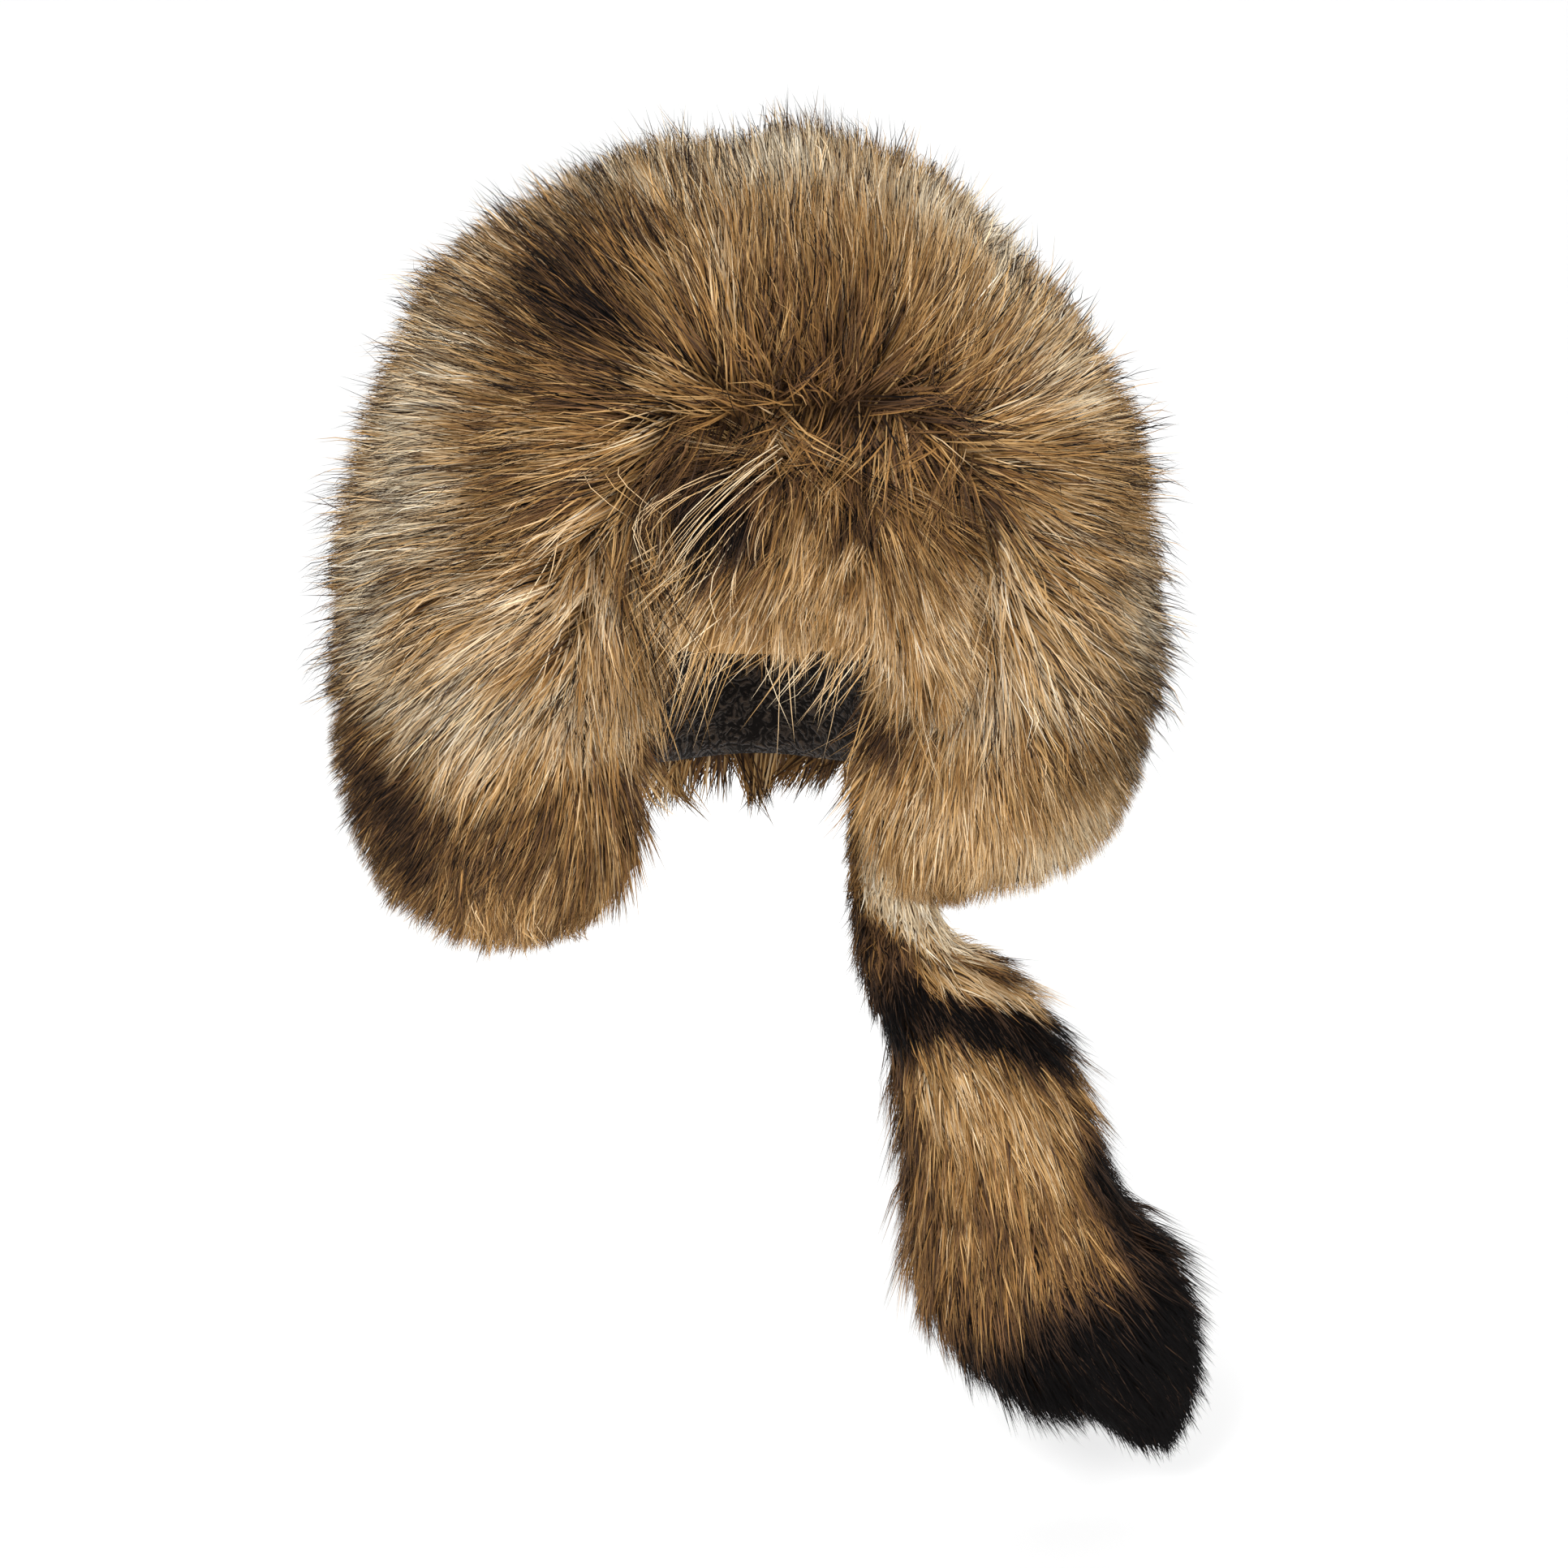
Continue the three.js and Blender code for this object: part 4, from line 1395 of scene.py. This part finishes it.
class HAT_OT_ear_flaps(bpy.types.Operator):
    """Adds the underfur and hairs of both ear flaps"""

    bl_idname = "hat.ear_flaps"
    bl_label = "Ear Flaps"

    def execute(self, context):
        for side, start, end, hem in (
            ("left", FACE_BEARING, NECK_BEARING, HEM_LEFT),
            ("right", -NECK_BEARING, -FACE_BEARING, HEM_RIGHT),
        ):
            inner, outer, density = flap_pelt(start, end, hem, True)
            name, node = f"ear_underfur_{side}", f"ear_fur_{side}"
            add_underfur(name, inner, outer, hat_colour, node)
            pelt = Pelt(outer, inner, density)
            add_hairs(f"ear_hairs_{side}", pelt, hat_colour, length_at=flap_length)
        return {"FINISHED"}


class HAT_OT_neck_flap(bpy.types.Operator):
    """Adds the neck flap's underfur and hairs"""

    bl_idname = "hat.neck_flap"
    bl_label = "Neck Flap"

    def execute(self, context):
        start, end = NECK_BEARING + GAP_ANGLE, 360 - NECK_BEARING - GAP_ANGLE
        inner, outer, density = flap_pelt(start, end, HEM_NECK, False)
        add_underfur("neck_underfur", inner, outer, hat_colour, "neck_fur")
        add_hairs("neck_hairs", Pelt(outer, inner, density), hat_colour)
        return {"FINISHED"}


def tail_spots(points):
    """Share along the tail's middle line that lies nearest, and the share of the half width to
    the wearer's right of it."""
    marks = np.linspace(0, 1, 200)
    height = tail_line(marks)[0][:, 2]
    along = np.interp(-points[..., 2], -height, marks)
    for _ in range(4):
        near, tangent = tail_line(along)[:2]
        along = np.clip(along + dot(points - near, tangent) / TAIL_LENGTH, 0, TAIL_REACH)
    near, _, side, _, half = tail_line(along)
    return along, dot(points - near, side) / half[:, 0]


def tail_colour(points):
    """Coat and tip from the rings of colour along the tail, with a pale patch above the black
    ring on the left, and with places that are no paler than the dark coat laid on them: a right
    edge in the upper part, a brown and a black stripe down the left and a streak in the middle."""
    along, aside = tail_spots(points)
    steps, coats, tips = np.array(TAIL_COAT).T
    wide = np.clip(aside, -1, 1)
    spot = along + TAIL_TILT * wide - TAIL_BOW * wide**2
    coat, tip = np.interp(spot, steps, coats), np.interp(spot, steps, tips)
    patch = smoothstep(-aside, 0, 0.4) * smoothstep(-np.abs(spot - 0.142), -0.03, -0.014)
    edge = smoothstep(aside, 0.55, 0.9) * smoothstep(-along, -0.46, -0.38)
    brown = smoothstep(-aside, 0.0, 0.5) * smoothstep(along, 0.40, 0.50)
    streak = np.exp(-(((aside - 0.15) / 0.12) ** 2)) * smoothstep(along, 0.42, 0.52)
    stripe = smoothstep(-aside, 0.56, 0.9) * smoothstep(along, 0.32, 0.44)
    coat, tip = mix(coat, 0.72, patch), mix(tip, 0.2, patch)
    for share, dark_coat, dark_tip in (
        (0.8 * edge, 0.22, 0.5),
        (0.4 * brown, 0.38, 0.3),
        (0.6 * streak, 0.2, 0.5),
        (0.9 * stripe, 0.03, 0.9),
    ):
        coat = np.minimum(mix(coat, dark_coat, share), coat)
        tip = mix(tip, dark_tip, share)
    return coat, tip


def tail_length(points):
    """Share of the full length: shorter at the root and towards the tip."""
    along, _ = tail_spots(points)
    return mix(0.4, 1, smoothstep(along, 0.06, 0.26)) * mix(1, 0.6, smoothstep(along, 0.6, 1))


def tail_comb(points, normals, droop, luck):
    """Direction along the tail to its tip."""
    along, _ = tail_spots(points)
    _, tangent, _, _, _ = tail_line(along)
    flow = tangent + DOWN * droop + luck.normal(0, UNRULY, points.shape)
    return unit(flow - normals * dot(flow, normals)[:, None])


class HAT_OT_tail(bpy.types.Operator):
    """Adds the tail's underfur and hairs"""

    bl_idname = "hat.tail"
    bl_label = "Tail"

    def execute(self, context):
        skin, middle = tail_pelt()
        rings, around = skin.shape[0], skin.shape[1] - 1
        spots = np.arange(rings * around).reshape(rings, around)
        after = np.roll(spots, -1, axis=1)
        quads = np.stack([spots[:-1], after[:-1], after[1:], spots[1:]], -1)
        points = skin[:, :-1].reshape(-1, 3)
        caps = (spots[0], spots[-1])
        mesh = add_mesh("tail_underfur", points, quads=quads, caps=caps, outward=True)
        add_body("tail_underfur", mesh, points, tail_colour, "tail")
        pelt = Pelt(skin, middle, np.ones(skin.shape[:2]))
        add_hairs("tail_hairs", pelt, tail_colour, tail_comb, tail_length)
        return {"FINISHED"}


# Stage


def add_stage():
    """A pale sheet that is a floor and curves up behind, as a profile drawn out sideways."""
    low = CAD_BOX[0][2] - FLOOR_GAP
    turn = np.linspace(0, np.pi / 2, 17)
    reach, back, bend, height, half_width = 3.0, 2.0, 1.2, 3.5, 4.0
    along = np.concatenate([[-reach], back + bend * np.sin(turn), [back + bend]])
    up = np.concatenate([[0], bend * (1 - np.cos(turn)), [height]])
    sides = np.linspace(-half_width, half_width, 3)
    points = np.stack(
        [
            np.repeat(sides[:, None], len(along), 1),
            np.repeat(along[None], len(sides), 0),
            np.repeat(low + up[None], len(sides), 0),
        ],
        -1,
    )
    spots = np.arange(points.shape[0] * points.shape[1]).reshape(points.shape[:2])
    quads = np.stack([spots[:-1, :-1], spots[1:, :-1], spots[1:, 1:], spots[:-1, 1:]], -1)
    mesh = add_mesh("paper_sweep", points.reshape(-1, 3), quads=quads)
    sweep = bpy.data.objects.new("paper_sweep", mesh)
    bpy.context.scene.collection.objects.link(sweep)
    mesh.materials.append(stage_material())


def add_lamp(name, place, size, power):
    light = bpy.data.lights.new(name, "AREA")
    light.size = size
    light.energy = power
    lamp = bpy.data.objects.new(name, light)
    bpy.context.scene.collection.objects.link(lamp)
    lamp.location = place
    aim = Vector(LAMP_AIM) - lamp.location
    lamp.rotation_euler = aim.to_track_quat("-Z", "Y").to_euler()


def add_camera():
    camera = bpy.data.cameras.new("camera")
    camera.sensor_width = 36
    camera.angle = math.radians(CAMERA_VIEW)
    view = bpy.data.objects.new("camera", camera)
    bpy.context.scene.collection.objects.link(view)
    view.location = CAMERA_PLACE
    turn = (90 - CAMERA_DOWN, 0, -CAMERA_ASIDE)
    view.rotation_euler = [math.radians(angle) for angle in turn]
    bpy.context.scene.camera = view


def light_room(strength):
    world = bpy.data.worlds.new("studio")
    world.use_nodes = True
    sky = world.node_tree.nodes["Background"].inputs
    sky["Color"].default_value = (1, 1, 1, 1)
    sky["Strength"].default_value = strength
    bpy.context.scene.world = world


class HAT_OT_stage(bpy.types.Operator):
    """Adds the pale floor and backdrop, the studio lights and the camera"""

    bl_idname = "hat.stage"
    bl_label = "Stage"

    def execute(self, context):
        add_stage()
        for name, (place, size, power) in LAMPS.items():
            add_lamp(name, place, size, power)
        light_room(ROOM_LIGHT)
        add_camera()
        context.scene.view_settings.view_transform = "Standard"
        return {"FINISHED"}


class HAT_PT_panel(bpy.types.Panel):
    """Lists the hat's sizes, colours and pieces"""

    bl_idname = "HAT_PT_panel"
    bl_label = "Fur Hat"
    bl_space_type = "VIEW_3D"
    bl_region_type = "UI"
    bl_category = "Fur Hat"

    def draw(self, context):
        for group in (context.scene.hat_sizes, context.scene.hat_colours):
            for name in group.__annotations__:
                self.layout.prop(group, name)
        for operator in OPERATORS:
            self.layout.operator(operator.bl_idname)


OPERATORS = (
    HAT_OT_stage,
    HAT_OT_linings,
    HAT_OT_crown,
    HAT_OT_forehead_flap,
    HAT_OT_ear_flaps,
    HAT_OT_neck_flap,
    HAT_OT_tail,
)
CLASSES = (HatSizes, HatColours, *OPERATORS, HAT_PT_panel)


def register():
    for kind in CLASSES:
        bpy.utils.register_class(kind)
    bpy.types.Scene.hat_sizes = bpy.props.PointerProperty(type=HatSizes)
    bpy.types.Scene.hat_colours = bpy.props.PointerProperty(type=HatColours)


def unregister():
    del bpy.types.Scene.hat_colours
    del bpy.types.Scene.hat_sizes
    for kind in reversed(CLASSES):
        bpy.utils.unregister_class(kind)


def main():
    register()
    bpy.ops.hat.stage()
    bpy.ops.hat.linings()
    bpy.ops.hat.crown()
    bpy.ops.hat.forehead_flap()
    bpy.ops.hat.ear_flaps()
    bpy.ops.hat.neck_flap()
    bpy.ops.hat.tail()


if __name__ == "__main__":
    main()
